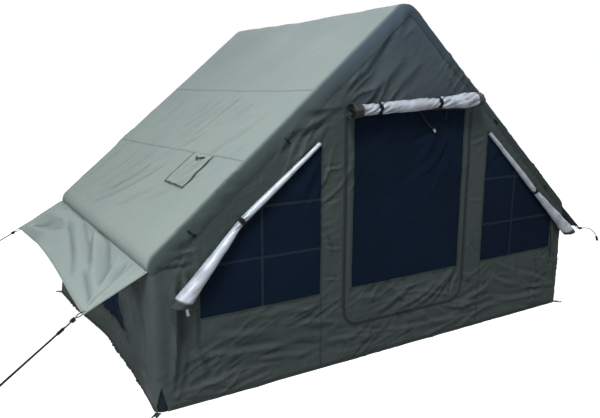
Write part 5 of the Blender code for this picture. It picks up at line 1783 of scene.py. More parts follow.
class BackGable(OnSkin):
    """The closed gable at the back."""

    grid = 0.015
    seam_width = 0.012

    def build(self) -> None:
        """Builds the panel, its seams and its foot hem."""
        cloth = Cloth.cut(self.skin.gable_outline(), self.grid)
        panel = cloth.make("back_cloth", self.skin.gable(End.BACK, cloth.flat), [WALL, INNER])
        dress(panel, Body.TENT, "wall_cloth", "gable_back")
        routes = {
            "back_rafter_seam": [p for p in self.skin.gable_outline(-0.001) if p[1] > self.sizes.seam_z - 0.02],
            "back_foot_hem": [(-HEM_REACH, HEM_HEIGHT), (HEM_REACH, HEM_HEIGHT)],
            "back_middle_seam": [(0.0, 0.03), (0.0, 1.86)],
            "back_cross_seam": [(-1.43, 0.72), (1.43, 0.72)],
        }
        trims = [
            sewn(name, route, self.seam_width, lambda flat: self.skin.gable(End.BACK, flat))
            for name, route in routes.items()
        ]
        as_sheet(panel, trims)


@dataclass(frozen=True)
class Awning:
    """A flap propped out along the eave: cloth that closes a side window."""

    side: Side
    droop: float
    body: Body
    creases: tuple[Crease, ...]
    axis_x: float = 1.51582
    front_reach: float = 0.33
    back_reach: float = 0.359
    hollow: float = 0.038
    skew: float = 1.4
    fold: float = 0.014
    folds: int = 4
    hinge_margin: float = 0.02
    tip_margin: float = 0.05
    cloth: float = 0.002
    eyelet_radius: float = 0.007
    eyelet_inset: float = 0.024
    eyelet_edge: float = 0.013
    hook_half: float = 0.019
    hook_wire: float = 0.0025
    hook_gap: float = 0.0013
    rope_gap: float = 0.0003
    ring_wire: float = 0.0016
    ring_gap: float = 0.0014
    ring_flatness: float = 1.3
    length: float = 2.03
    grid: float = 0.009
    hem_width: float = 0.012
    hem_inset: float = 0.007
    strength: float = 2.0
    wrinkles: Wrinkles = Wrinkles(14, 0.5, 0.12, 3.0, 0.009)

    @property
    def out(self) -> np.ndarray:
        """The way from the hinge to the outer edge."""
        return np.array([self.side * math.cos(self.droop), 0.0, -math.sin(self.droop)])

    @property
    def up(self) -> np.ndarray:
        """The way that the flap's upper face looks."""
        return np.array([self.side * math.sin(self.droop), 0.0, math.cos(self.droop)])

    @property
    def axis(self) -> np.ndarray:
        """A point of the hinge line."""
        return np.array([self.side * self.axis_x, 0.0, TENT.seam_z])

    @property
    def tip_half(self) -> float:
        """Half the length of the outer edge."""
        return TENT.gable_y - self.tip_margin

    def reach(self, share: Values) -> Values:
        """From the hinge to the hollowed outer edge, at a share of the way from front to back."""
        skewed = share**self.skew
        return blend_values(self.front_reach, self.back_reach, share) - self.hollow * 4 * skewed * (1 - skewed)

    def surface(self, flat: np.ndarray) -> Placed:
        """The flap's upper face.

        Args:
            flat: Places on it: along the tent, and out from the hinge.

        Returns:
            The places.
        """
        u = np.clip(flat[:, 0] / self.length + 0.5, 0.0, 1.0)
        v = flat[:, 1] / self.front_reach
        away = self.reach(u) * v
        along = (2 * u - 1) * (TENT.gable_y - blend_values(self.hinge_margin, self.tip_margin, v))
        bearing = np.arctan2((1 - v) * self.front_reach, u * TENT.depth)
        fans = np.sin(bearing * 2 * self.folds) ** 2
        height = self.fold * fans * np.sin(np.pi * np.clip(v, 0, 1)) * np.sin(np.pi * u) ** 0.5
        spots = np.stack([along, away], axis=1)
        free = smooth_step(v, 0.0, 0.08) * (0.35 + 0.65 * smooth_step(0.5 - np.abs(u - 0.5), 0.0, 0.04))
        lift = (creased(spots, self.creases) * self.strength + self.wrinkles.lift(spots, self.side)) * free
        soft = rolling(np.stack([along, away, u * 0], axis=1), (0.25, 0.1, 1.0), 4.0 + self.side)
        lift = np.maximum(lift + soft * 0.008 * free, -0.25 * away)
        points = self.axis + self.out * away[:, None] + self.up * (height + lift + self.cloth / 2)[:, None]
        points[:, 1] = along
        return Placed(points, np.tile(self.up, (len(points), 1)))

    def eyelet(self, end: End) -> np.ndarray:
        """The middle of a corner's eyelet.

        Args:
            end: Which corner.

        Returns:
            The place.
        """
        share = self.eyelet_inset / TENT.depth
        place = self.axis + self.out * (self.reach(share if end is End.FRONT else 1 - share) - self.eyelet_edge)
        place[1] = end * (self.tip_half - self.eyelet_inset)
        return place

    def rope_start(self, end: End, to: Vector) -> Vector:
        """Where a rope that runs to a point leaves the corner's link.

        Args:
            end: Which corner.
            to: The point that the rope runs to.

        Returns:
            The place.
        """
        rim = self.eyelet_radius * math.cos(math.pi / 12) - self.hook_wire - self.hook_gap
        link_end = Vector(self.eyelet(end) + self.out * (2 * self.hook_half + rim))
        return link_end + (to - link_end).normalized() * (self.hook_wire + self.rope_gap)

    def build(self) -> None:
        """Builds the flap, its hems and its eyelets."""
        word = self.side.word
        half = self.length / 2
        front = self.front_reach
        holes = []
        for end in End:
            share = 0.5 + end * 0.5 * (1 - self.eyelet_inset / self.tip_half)
            reach = self.reach(share)
            middle = ((share - 0.5) * self.length, front * (reach - self.eyelet_edge) / reach)
            holes.append(circle(middle, self.eyelet_radius * 0.98))
        cloth = Cloth.cut(rectangle(-half, 0.0, half, front), self.grid, holes)
        flap = cloth.make(f"awning_cloth_{word}", self.surface(cloth.flat), [FLAP, WALL], 0.0016)
        dress(flap, self.body, "roof_cloth", f"awning_flap_{word}")
        root, side, tip = self.hem_width, half - self.hem_inset, front - self.hem_inset
        routes = {
            "edge": [(-side, root), (-side, tip), (side, tip), (side, root)],
            "front_tape": [(-0.83, 0.02), (-0.962, front - 0.03)],
        }
        trims = [
            sewn(
                f"awning_{label}_{word}", route, self.hem_width, self.surface, FLAP_HEM, self.body, "roof_cloth",
                above=0.001, thickness=0.0008,
            )
            for label, route in routes.items()
        ]
        as_sheet(flap, [*trims, *(self.build_eyelet(end) for end in End)])

    def build_eyelet(self, end: End) -> bpy.types.Object:
        """The metal ring pressed round a corner's hole.

        Args:
            end: Which corner.

        Returns:
            The piece.
        """
        bm = bmesh.new()
        bmesh.ops.create_circle(bm, segments=10, radius=self.ring_wire)
        bmesh.ops.rotate(bm, matrix=Matrix.Rotation(math.pi / 2, 3, "X"), verts=bm.verts)
        bmesh.ops.scale(bm, vec=(self.ring_flatness, 1.0, 1.0), verts=bm.verts)
        bmesh.ops.translate(bm, vec=(self.eyelet_radius + self.ring_gap, 0.0, 0.0), verts=bm.verts)
        bmesh.ops.spin(
            bm, geom=[*bm.verts, *bm.edges], cent=(0, 0, 0), axis=(0, 0, 1), dvec=(0, 0, 0),
            angle=2 * math.pi, steps=24, use_merge=True,
        )
        bmesh.ops.rotate(bm, matrix=Matrix.Rotation(self.side * self.droop, 3, "Y"), verts=bm.verts)
        bmesh.ops.translate(bm, vec=Vector(self.eyelet(end)), verts=bm.verts)
        ring = solid_piece(f"eyelet_{self.side.word}_{end.word}", bm, EYELET_METAL)
        return dress(ring, self.body, "zip_metal")


@dataclass(frozen=True)
class RolledCover:
    """A cover wound up in a spiral, its silver side outwards, along the gable."""

    name: str
    node: str
    start: Vector
    knee: Vector
    end: Vector
    largest: float
    shares: tuple[float, ...]
    core: float
    turns: int
    waves: int
    straps: tuple[tuple[str, str, float], ...]
    dark_ends: Pair
    seed: float
    slant: float = 0.0
    crumple: float = 0.8
    gather: float = 0.24
    face_y: float = -1.0513
    ripple: float = 0.05
    cinch: float = 0.16
    cinch_reach: float = 0.022
    gather_reach: float = 0.075
    steps: int = 36
    row: float = 0.0055
    strap_width: float = 0.02
    strap_lift: float = 0.0028
    buckle_lift: float = 0.0055

    @property
    def length(self) -> float:
        """From end to end, past the knee."""
        return (self.end - self.start).length

    @property
    def along(self) -> Vector:
        """The way from its start to its end."""
        return (self.end - self.start).normalized()

    def radius(self, v: float) -> float:
        """The roll's radius, drawn in under its straps.

        Args:
            v: The share of the length.

        Returns:
            The radius.
        """
        place = v * (len(self.shares) - 1)
        low = min(int(place), len(self.shares) - 2)
        t = place - low
        return self.largest * blend_values(self.shares[low], self.shares[low + 1], t * t * (3 - 2 * t))

    def centre(self, v: float) -> Vector:
        """The roll's middle line.

        Args:
            v: The share of the length.

        Returns:
            The place.
        """
        bend = knee_share(self.start, self.knee, self.end)
        if v < bend:
            place = self.start.lerp(self.knee, v / bend)
        else:
            place = self.knee.lerp(self.end, (v - bend) / (1 - bend))
        return place + Vector((0.0, self.face_y - self.radius(v), 0.0))

    def wound(self, turn_share: float, v: float, lift: float = 0.0) -> tuple[Vector, Vector]:
        """A point of the winding.

        Args:
            turn_share: From the core (0) to the outer end at the gable (1).
            v: The share of the length.
            lift: How far outside the cloth.

        Returns:
            The place and the way outwards there.
        """
        along, length = self.along, self.length
        out = Vector((0.0, -1.0, 0.0))
        up = out.cross(along)
        up = up if up.z > 0 else -up
        angle = (1 - turn_share) * self.turns * 2 * math.pi
        ripple = 1 - self.ripple * (1 - math.cos(self.waves * 2 * math.pi * v + angle)) / 2
        spread = blend_values(self.core, 1.0, turn_share) * self.radius(v) * ripple
        twist = angle + v * length * 12
        soft = noise.noise(Vector((v * length / 0.16, 0.9 * math.cos(twist), 0.9 * math.sin(twist) + self.seed)))
        sharp = noise.noise(Vector((v * length / 0.17, 1.6 * math.cos(twist), 1.6 * math.sin(twist) - self.seed)))
        uneven = self.crumple * (0.4 + 0.6 * min(1.0, (abs(v - 0.45) / 0.4) ** 2))
        spread *= 1 + uneven * (0.12 * soft - 0.24 * (1 - min(1.0, 2.2 * abs(sharp))) ** 2)
        cinched = 1.0
        for _, _, share in self.straps:
            away = (v - share) * length
            gathers = abs(math.sin(2.5 * angle + 55 * away)) - 0.5
            cinched -= self.cinch * math.exp(-((away / self.cinch_reach) ** 2))
            fade = math.exp(-((away / self.gather_reach) ** 2))
            cinched += self.gather * gathers * fade * min(1.0, abs(away) / 0.012)
        way = up * math.sin(angle) - out * math.cos(angle)
        longer = self.slant * (0.5 + 0.5 * math.sin(angle)) * max(0.0, (v - 0.86) / 0.14) ** 1.5
        return self.centre(v) + way * (spread * cinched + lift) + along * longer, way

    @staticmethod
    def placed(spots: Sequence[tuple[Vector, Vector]]) -> Placed:
        """Points of the winding as a cloth's places."""
        points, out = (np.array([tuple(part) for part in column]) for column in zip(*spots))
        return Placed(points, out)

    def build(self) -> None:
        """Builds the roll, its straps and their buckles."""
        cloth = Cloth.lattice(self.turns * self.steps, round(self.length / self.row))
        placed = self.placed([self.wound(u, v) for u, v in cloth.flat.tolist()])
        u, v = cloth.flat.T
        around = math.pi * self.turns * (1 + self.core) * float(np.mean([self.radius(t / 20) for t in range(21)]))
        cloth.uv = cloth.flat * np.array([around, self.length])
        ragged = v + rolling(np.stack([u * 4, v * 9, v * 0], axis=1), (1, 1, 1), 2.0) * 0.006 / self.length
        first, last = (smooth_step(ragged, share - 0.003, share + 0.003) for share in self.dark_ends)
        piece = cloth.make(self.name, placed, [SILVER, WALL], 0.0013, 0.0, {END_MARK: 1 - first + last})
        dress(piece, Body.TENT, "silver_cloth", self.node)
        trims = [part for strap in self.straps for part in self.build_strap(*strap)]
        as_sheet(piece, trims)

    def build_strap(self, name: str, node: str, share: float) -> list[bpy.types.Object]:
        """A strap round the roll, with its buckle.

        Args:
            name: The piece's name.
            node: The CAD node that it replaces.
            share: Its place along the roll.

        Returns:
            The pieces.
        """
        cloth = Cloth.lattice(34, 3)
        first, last = (1 - part / 11 / self.turns for part in (8.6, 0.6))
        width, length = self.strap_width, self.length
        placed = self.placed([
            self.wound(blend_values(first, last, u), share + (v - 0.5) * width / length, self.strap_lift)
            for u, v in cloth.flat.tolist()
        ])
        cloth.uv = cloth.flat * np.array([0.78 * 2 * math.pi * self.radius(share), 1.0])
        strap = dress(cloth.make(name, placed, [WEBBING], 0.0015, 0.0), Body.TENT, "strap", node)
        place, way = self.wound(1 - 0.42 / self.turns, share, self.buckle_lift)
        return [strap, ladder_buckle(f"{name}_buckle", place, self.along, way, 0.026, 0.02)]


def knee_share(start: Vector, knee: Vector, end: Vector) -> float:
    """The share of a bent line's length at which its knee lies."""
    first = (knee - start).length
    return first / (first + (end - knee).length)


def ladder_buckle(
    name: str, place: Vector, along: Vector, out: Vector, width: float, height: float,
) -> bpy.types.Object:
    """A flat plastic buckle with two slots.

    Args:
        name: The piece's name.
        place: Its middle.
        along: The way along its slots.
        out: The way that its face looks.
        width: Its size along the slots.
        height: Its size across them.

    Returns:
        The piece.
    """
    bm = bmesh.new()
    bmesh.ops.create_grid(bm, x_segments=3, y_segments=5, size=0.5)
    across = (-0.5, -0.36, 0.36, 0.5)
    down = (-0.5, -0.32, -0.11, 0.11, 0.32, 0.5)
    for vertex in bm.verts:
        column, row = round((vertex.co.x + 0.5) * 3), round((vertex.co.y + 0.5) * 5)
        vertex.co = (across[column] * width, down[row] * height, 0.0)
    middles = {face: face.calc_center_median() for face in bm.faces}
    slots = [face for face, at in middles.items() if abs(at.x) < width / 5 and 0.15 < abs(at.y / height) < 0.3]
    bmesh.ops.delete(bm, geom=slots, context="FACES")
    bmesh.ops.solidify(bm, geom=bm.faces[:], thickness=BUCKLE_THICKNESS)
    bmesh.ops.bevel(
        bm, geom=[edge for edge in bm.edges if edge.is_manifold and edge.calc_face_angle() > 0.5],
        offset=BUCKLE_ROUNDING, segments=2, affect="EDGES", profile=0.5, material=-1,
    )
    side = along.normalized()
    face = (out - side * out.dot(side)).normalized()
    turn = Matrix((side, face.cross(side), face)).transposed().to_4x4()
    bmesh.ops.transform(bm, matrix=Matrix.Translation(place) @ turn, verts=bm.verts)
    return dress(solid_piece(name, bm, PLASTIC), Body.TENT, "black_plastic")


class Covers:
    """The rolled door and window covers with their ties and hanging tails."""

    tails = {
        "door_tail_long": (((0.085, 1.412), (0.115, 1.375), (0.165, 1.33), (0.196, 1.308)), 0.012, WEBBING),
        "door_tail_tip": (((0.192, 1.311), (0.203, 1.302), (0.213, 1.292)), 0.013, WHITE_TAPE),
        "door_tail_short": (((0.289, 1.423), (0.292, 1.39), (0.293, 1.361)), 0.011, WEBBING),
        "window_tail_left": (((-1.345, 0.515), (-1.342, 0.495), (-1.336, 0.472)), 0.014, WHITE_TAPE),
        "window_tail_right": (((1.359, 0.561), (1.374, 0.46), (1.386, 0.359)), 0.009, WEBBING),
    }

    def __init__(self, sizes: TentSizes) -> None:
        """Works out where each cover is rolled up.

        Args:
            sizes: The tent's sizes.
        """
        s = sizes
        peak = s.peak_seam
        x = s.front_offset
        self.rolls = [RolledCover(
            "door_cover", "door_cover_roll",
            Vector((x - s.door_half - 0.01, 0.0, peak - 0.008)), Vector((x + 0.035, 0.0, peak + 0.022)),
            Vector((x + s.door_half + 0.03, 0.0, peak + 0.046)),
            0.046, (1.05, 0.74, 0.78, 0.84, 0.85, 0.74, 0.86, 1.1, 1.0), 0.3, 3, 3,
            (("door_tie_left", "door_roll_strap_left", 0.2), ("door_tie_right", "door_roll_strap_right", 0.654)),
            (0.075, 0.952), 3.3,
        )]
        shares = (0.25, 0.3, 0.365, 0.415, 0.405, 0.585, 0.79, 1.0)
        shifts = (((0.017, 0.003), 0.047, (0.092, -0.109)), ((0.002, 0.014), 0.003, (0.128, -0.115)))
        for side, (first, rise, last) in zip(Side, shifts):
            word = side.word
            corner = Vector((x + side * s.window_inner, 0.0, s.window_top))
            shoulder = Vector((x + side * s.window_outer, 0.0, s.window_shoulder))
            start = corner + Vector((side * first[0], 0.0, first[1]))
            knee = corner.lerp(shoulder, 0.68) + Vector((0.0, 0.0, rise))
            end = shoulder + Vector((side * last[0], 0.0, last[1]))
            strap = (f"window_tie_{word}", f"window_roll_strap_{word}", knee_share(start, knee, end))
            self.rolls.append(RolledCover(
                f"window_cover_{word}", f"window_cover_roll_{word}", start, knee, end, 0.048, shares, 0.45, 2, 2,
                (strap,), (0.006, 0.975), 5.1 + side, 0.06, 0.3, 0.1,
            ))

    def build(self) -> None:
        """Builds the rolls and the tails."""
        for cover in self.rolls:
            cover.build()
        for name, (route, width, finish) in self.tails.items():
            self.tail(name, route, width, finish)

    @staticmethod
    def tail(name: str, route: Sequence[Pair], width: float, finish: Finish) -> None:
        """A loose end of tape that hangs in front of the gable.

        Args:
            name: The piece's name.
            route: Its line (x, z).
            width: Its width.
            finish: Its finish.
        """
        fine = []
        for a, b in zip(route, route[1:]):
            fine += [Vector((blend_values(a[0], b[0], t), 0.0, blend_values(a[1], b[1], t))) for t in (0.0, 0.34, 0.67)]
        fine.append(Vector((route[-1][0], 0.0, route[-1][1])))
        for number, place in enumerate(fine):
            place.y = -1.0625 - 0.003 * math.sin(number * 0.9)
        across = (fine[-1] - fine[0]).normalized().cross(Vector((0.0, -1.0, 0.0)))
        line = np.array([tuple(p) for p in fine])
        cloth = Cloth.lattice(len(fine) - 1, 2)
        column = np.rint(cloth.flat[:, 0] * (len(fine) - 1)).astype(int)
        beside = cloth.flat[:, 1]
        sideways = np.array(across.normalized())
        out = np.cross(np.gradient(line, axis=0), sideways)
        out /= np.linalg.norm(out, axis=1)[:, None]
        length = np.concatenate([[0.0], np.cumsum(np.linalg.norm(np.diff(line, axis=0), axis=1))])
        points = line[column] + sideways * ((beside - 0.5) * width)[:, None]
        cloth.uv = np.stack([length[column], beside], axis=1)
        dress(cloth.make(name, Placed(points, out[column]), [finish], 0.0014, 0.0), Body.TENT, "strap")


class GuyRopes:
    """The three guy ropes: two doubled round their pegs and one that hangs slack."""

    radius = 0.0032
    strand_offset = 0.0035
    runner_length = 0.036
    stub = 0.008
    loop = 0.01
    front_peg = Vector((-2.55, -0.963, 0.0))
    back_peg = Vector((-2.55, 1.6, 0.0))
    slack_line = ((1.868, 0.504), (1.93, 0.487), (1.98, 0.456), (2.012, 0.43), (2.034, 0.386))
    slack_y = -1.0
    knot_steps = 42
    knot_turn = 12

    def __init__(self, left: Awning, right: Awning) -> None:
        """Takes the left and the right awning, whose corners the ropes hold."""
        self.left = left
        self.right = right

    def doubled(self, end: End, peg: Vector, distance: float) -> list[Vector]:
        """A rope from its link down round the peg and back up.

        Args:
            end: Which corner of the left awning.
            peg: The peg's place.
            distance: How far from the link the strand comes back to.

        Returns:
            The path.
        """
        tip = peg + Vector((0.0, 0.0, self.radius + 0.0003))
        start = self.left.rope_start(end, tip)
        way = (tip - start).normalized()
        across = way.cross(Vector((0.0, 0.0, 1.0))).normalized()
        offset = across * self.strand_offset
        runner = start + way * distance
        top, bottom = (runner + way * part * self.runner_length / 2 for part in (-1, 1))
        middle = tip - way * self.loop
        turn = [
            middle + way * self.loop * math.cos(t) + across * self.loop * math.sin(t)
            for t in np.linspace(-math.pi / 2, math.pi / 2, 9)
        ]
        down = [start, top - offset] + [(bottom - offset).lerp(turn[0], i / 6) for i in range(6)]
        back = [turn[-1].lerp(bottom + offset, i / 6) for i in range(6)]
        return down + turn[:-1] + back + [bottom + offset, top + offset - way * self.stub]

    def slack(self) -> list[Vector]:
        """The short rope that bows out from the right awning and hangs down.

        Returns:
            The path.
        """
        *bow, last = [Vector((x, self.slack_y, z)) for x, z in self.slack_line]
        points = [self.right.rope_start(End.FRONT, bow[0]), *bow]
        padded = [2 * points[0] - points[1], *points, 2 * points[-1] - points[-2]]
        path = []
        for a, b, c, d in zip(padded, padded[1:], padded[2:], padded[3:]):
            for t in (0.0, 0.25, 0.5, 0.75):
                curved = (2 * a - 5 * b + 4 * c - d) * t**2 + (3 * b - a - 3 * c + d) * t**3
                path.append((2 * b + (c - a) * t + curved) / 2)
        return path + [bow[-1], last, last + (last - bow[-1]).normalized() * self.stub]

    def build(self) -> None:
        front = self.doubled(End.FRONT, self.front_peg, 0.085)
        back = self.doubled(End.BACK, self.back_peg, 0.03)
        hook, runner = "guy_hook_", "rope_runner_"
        self.rope("left_front", front, Body.AWNING_LEFT, ROPE, "taut", "fitting", (hook, runner))
        self.rope("left_back", back, Body.AWNING_LEFT, ROPE, "taut", "knot", (hook,))
        self.rope("right_front", self.slack(), Body.AWNING_RIGHT, PALE_ROPE, "hanging", "fitting", (hook, runner))

    def rope(
        self, corner: str, path: Sequence[Vector], body: Body, finish: Finish, lay: str, far_end: str,
        fittings: Sequence[str],
    ) -> None:
        """A round rope along a path, with the knot at its hook.

        Args:
            corner: The corner that it holds, as in its names.
            path: Its middle line.
            body: What it moves with.
            finish: Its finish.
            lay: How it lies; not used.
            far_end: What is on its far end; not used.
            fittings: What the names of the CAD nodes on it start with; not used.
        """
        name = f"guy_cord_{corner}"
        piece = dress(self.strand(name, path, finish), body, "rope", f"guy_rope_{corner}")
        knot = dress(self.strand(f"{name}_knot", self.knot(path), finish), body, "rope")
        length = sum((b - a).length for a, b in zip(path, path[1:]))

    def strand(self, name: str, path: Sequence[Vector], finish: Finish) -> bpy.types.Object:
        """A round strand along a path.

        Args:
            name: The piece's name.
            path: Its middle line.
            finish: Its finish.

        Returns:
            The piece.
        """
        curve = bpy.data.curves.new(name, "CURVE")
        curve.dimensions = "3D"
        curve.bevel_depth = self.radius
        curve.bevel_resolution = 3
        curve.use_fill_caps = True
        spline = curve.splines.new("POLY")
        spline.points.add(len(path) - 1)
        for point, place in zip(spline.points, path):
            point.co = (*place, 1.0)
        return show(name, curve, finish)

    def knot(self, path: Sequence[Vector]) -> list[Vector]:
        """The turns of the knot that ties a rope to its hook, wound round its first strand.

        Args:
            path: The rope's middle line.

        Returns:
            The knot's middle line.
        """
        way = (path[1] - path[0]).normalized()
        across = way.cross(Vector((0.0, 0.0, 1.0))).normalized()
        up = across.cross(way)
        turns = []
        for step in range(self.knot_steps + 1):
            angle = step / self.knot_turn * 2 * math.pi
            along = 0.004 + step / self.knot_turn * 2.05 * self.radius
            swell = 1.95 * self.radius * (1 + 0.25 * math.sin(math.pi * step / self.knot_steps))
            turns.append(path[0] + way * along + (across * math.cos(angle) + up * math.sin(angle)) * swell)
        return turns


class AirFrame(OnSkin):
    """The inflated beams in their woven sleeves."""

    facets = 40
    rounding = 0.004
    spare = 0.2
    link_overlap = 0.012
    foot_height = 0.0023

    def beam(self, node: str, start: Vector, end: Vector, radius: float, cuts: Sequence[tuple[Vector, Vector]]) -> None:
        """A beam from start to end.

        Args:
            node: The CAD node that it replaces.
            start: Its axis' start.
            end: Its axis' end.
            radius: Its radius.
            cuts: Mitre planes as (point, outward direction).
        """
        way = end - start
        bm = bmesh.new()
        turn = way.to_track_quat("Z", "Y").to_matrix().to_4x4()
        spare = self.spare if cuts else 0.0
        bmesh.ops.create_cone(
            bm, cap_ends=True, segments=self.facets, radius1=radius, radius2=radius, depth=way.length + 2 * spare,
            matrix=Matrix.Translation((start + end) / 2) @ turn,
        )
        for point, outward in cuts:
            whole = bm.verts[:] + bm.edges[:] + bm.faces[:]
            cut = bmesh.ops.bisect_plane(bm, geom=whole, plane_co=point, plane_no=outward, clear_outer=True)
            rim = [edge for edge in cut["geom_cut"] if isinstance(edge, bmesh.types.BMEdge)]
            bmesh.ops.contextual_create(bm, geom=rim)
        rims = [edge for edge in bm.edges if edge.is_manifold and edge.calc_face_angle() > 0.6]
        bmesh.ops.bevel(bm, geom=rims, offset=self.rounding, segments=3, affect="EDGES", profile=0.5, material=-1)
        dress(solid_piece(f"{node}_sleeve", bm, SLEEVE), Body.TENT, "air_tube", node)

    def build(self) -> None:
        """Builds the arches, the ridge beam and the eave beams."""
        s = self.sizes
        up = Vector((0.0, 0.0, 1.0))
        for end in End:
            for side in Side:
                foot = Vector((side * s.leg_x, end * s.arch_y, self.foot_height))
                eave = Vector((side * s.eave_x, end * s.arch_y, s.eave_tube_height))
                ridge = Vector((0.0, end * s.arch_y, s.ridge_tube_height))
                mitre = ((ridge - eave).normalized() - (foot - eave).normalized()).normalized()
                self.beam(f"{end.word}_leg_{side.word}", foot, eave, s.tube_radius, [(foot, -up), (eave, mitre)])
                cuts = [(eave, -mitre), (ridge, Vector((-side, 0.0, 0.0))), (ridge + up * s.tube_radius, up)]
                self.beam(f"{end.word}_rafter_{side.word}", eave, ridge, s.tube_radius, cuts)
        near = s.arch_y - s.tube_radius + self.link_overlap
        links = {"ridge_tube": (0.0, s.ridge_tube_height)}
        links |= {f"eave_tube_{side.word}": (side * s.eave_x, s.eave_tube_height) for side in Side}
        for node, (x, z) in links.items():
            self.beam(node, Vector((x, -near, z)), Vector((x, near, z)), s.link_radius, [])


class Ground(OnSkin):
    """The groundsheet tray and the peg tabs at the corners."""

    grid = 0.04
    gap = 0.007
    rim_steps = 4
    rim_step = 0.029
    height = 0.0022
    tab_grid = 0.004
    tab_half = 0.015
    tab_reach = 0.045
    tab_start = 0.0003
    tab_height = 0.0024
    hole_x = 0.044
    hole_radius = 0.008

    def tray_outline(self, gap: float) -> list[Pair]:
        """The tray's edge, which follows the drawn-in feet of the walls.

        Args:
            gap: How far inside the skin.

        Returns:
            Corners (x, y).
        """
        s = self.sizes
        reach = s.gable_y - s.wall_edge
        corner = s.width / 2 - s.wall_edge
        right = arc((corner, -reach), s.wall_edge - gap, -math.pi / 2, 0.0, 6)
        for share in np.linspace(0.0, 1.0, 15)[1:-1]:
            waist = s.foot_waist * 4 * share * (1 - share)
            right.append((s.width / 2 - gap - waist, blend_values(-reach, reach, float(share))))
        right += arc((corner, reach), s.wall_edge - gap, 0.0, math.pi / 2, 6)
        return right + [(-x, y) for x, y in reversed(right)]

    def build(self) -> None:
        """Builds the tray with its raised rim, and the tabs."""
        cloth = Cloth.cut(self.tray_outline(self.gap), self.grid)
        rims = [edge for edge in cloth.bm.edges if edge.is_boundary]
        for _ in range(self.rim_steps):
            raised = bmesh.ops.extrude_edge_only(cloth.bm, edges=rims)["geom"]
            corners = [part for part in raised if isinstance(part, bmesh.types.BMVert)]
            bmesh.ops.translate(cloth.bm, vec=(0.0, 0.0, self.rim_step), verts=corners)
            rims = [part for part in raised if isinstance(part, bmesh.types.BMEdge)]
        cloth.bm.verts.index_update()
        points = np.array([tuple(v.co) for v in cloth.bm.verts]) + np.array([0.0, 0.0, self.height])
        cloth.uv = points[:, :2]
        tray = cloth.make("groundsheet_tray", self.level(points), [FLOOR_CLOTH], 0.0018)
        dress(tray, Body.TENT, "groundsheet", "groundsheet")
        as_sheet(tray)
        for end in End:
            for side in Side:
                self.build_tab(end, side)

    @staticmethod
    def level(points: np.ndarray) -> Placed:
        """Points of a cloth whose face looks up."""
        return Placed(points, np.tile([0.0, 0.0, 1.0], (len(points), 1)))

    def build_tab(self, end: End, side: Side) -> None:
        """A webbing tab with its peg hole.

        Args:
            end: Which gable.
            side: Which side.
        """
        s = self.sizes
        diagonal = math.radians(45)
        edge = s.wall_edge * (1 - math.cos(diagonal))
        corner = Vector((side * (s.width / 2 - edge), end * (s.gable_y - edge), self.tab_height))
        away = Vector((side * math.cos(diagonal), end * math.sin(diagonal), 0.0))
        across = Vector((-away.y, away.x, 0.0))
        half = self.tab_half
        tip = arc((self.tab_reach, 0.0), half, -math.pi / 2, math.pi / 2, 10)
        outline = [(self.tab_start, -half), *tip, (self.tab_start, half)]
        cloth = Cloth.cut(outline, self.tab_grid, [circle((self.hole_x, 0.0), self.hole_radius)])
        points = np.array([tuple(corner + away * x + across * y) for x, y in cloth.flat.tolist()])
        points += self.skin.pulled(self.level(np.array([tuple(corner)]))).points[0] - np.array(corner)
        cloth.uv = cloth.flat * np.array([1.0, 1 / (2 * half)]) + np.array([0.0, 0.5])
        name = f"peg_tab_{end.word}_{side.word}"
        dress(cloth.make(f"{name}_webbing", self.level(points), [HEM], 0.0022), Body.TENT, "strap", name)


class Fittings(OnSkin):
    """Finer finishes for the rigid CAD parts, and the small buckles on the rafters."""

    finishes = {
        PLASTIC: (
            "guy_hook_left_front", "guy_hook_left_back", "guy_hook_right_front", "rope_runner_left_front",
            "rope_runner_right_front", "valve_body", "valve_cap",
        ),
        ZIP_METAL: ("zip_slider_left", "zip_slider_right", "zip_pull_left", "zip_pull_right"),
    }
    rafter_tabs = {
        "low": ((-1.322, 0.889), (-1.288, 0.86), 0.01),
        "high": ((-0.80, 1.30), (-0.774, 1.274), 0.009),
        "right": ((0.71, 1.352), (0.74, 1.328), 0.01),
        "far": ((1.26, 0.885), (1.28, 0.868), 0.009),
    }

    def build(self) -> None:
        """Finishes the CAD parts and adds the rafter tabs."""
        for finish, nodes in self.finishes.items():
            for node in nodes:
                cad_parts[node].material_slots[0].material = finish.material()
                LOG.info("%s is finished in %s", node, finish.name)
        for place, (start, end, width) in self.rafter_tabs.items():
            self.rafter_tab(f"rafter_tab_{place}", start, end, width)

    def rafter_tab(self, name: str, start: Pair, end: Pair, width: float) -> None:
        """A short webbing tab with a buckle, sewn on by the rafter.

        Args:
            name: The piece's name.
            start: Its sewn end (x, z).
            end: Its free end.
            width: Its width.
        """
        sewn(
            name, [start, end], width, self.front, WEBBING, slot="strap", above=0.0015, bulge=0.005, thickness=0.0013,
            spacing=0.005,
        )
        place = Vector((end[0], -self.sizes.gable_y - 0.0075, end[1]))
        along = Vector((end[1] - start[1], 0.0, start[0] - end[0]))
        ladder_buckle(f"{name}_buckle", place, along, Vector((0.0, -1.0, 0.0)), width * 1.5, width * 1.1)


@dataclass(frozen=True)
class Lamp:
    """A square soft lamp."""

    name: str
    place: Place
    target: Place
    size: float
    power: float

    def build(self) -> None:
        """Puts the lamp in its place, turned to its target."""
        data = bpy.data.lights.new(self.name, "AREA")
        data.size = self.size
        data.energy = self.power
        way = Vector(self.target) - Vector(self.place)
        turn = way.to_track_quat("-Z", "Y").to_matrix().to_4x4()
        show(self.name, data).matrix_world = Matrix.Translation(self.place) @ turn


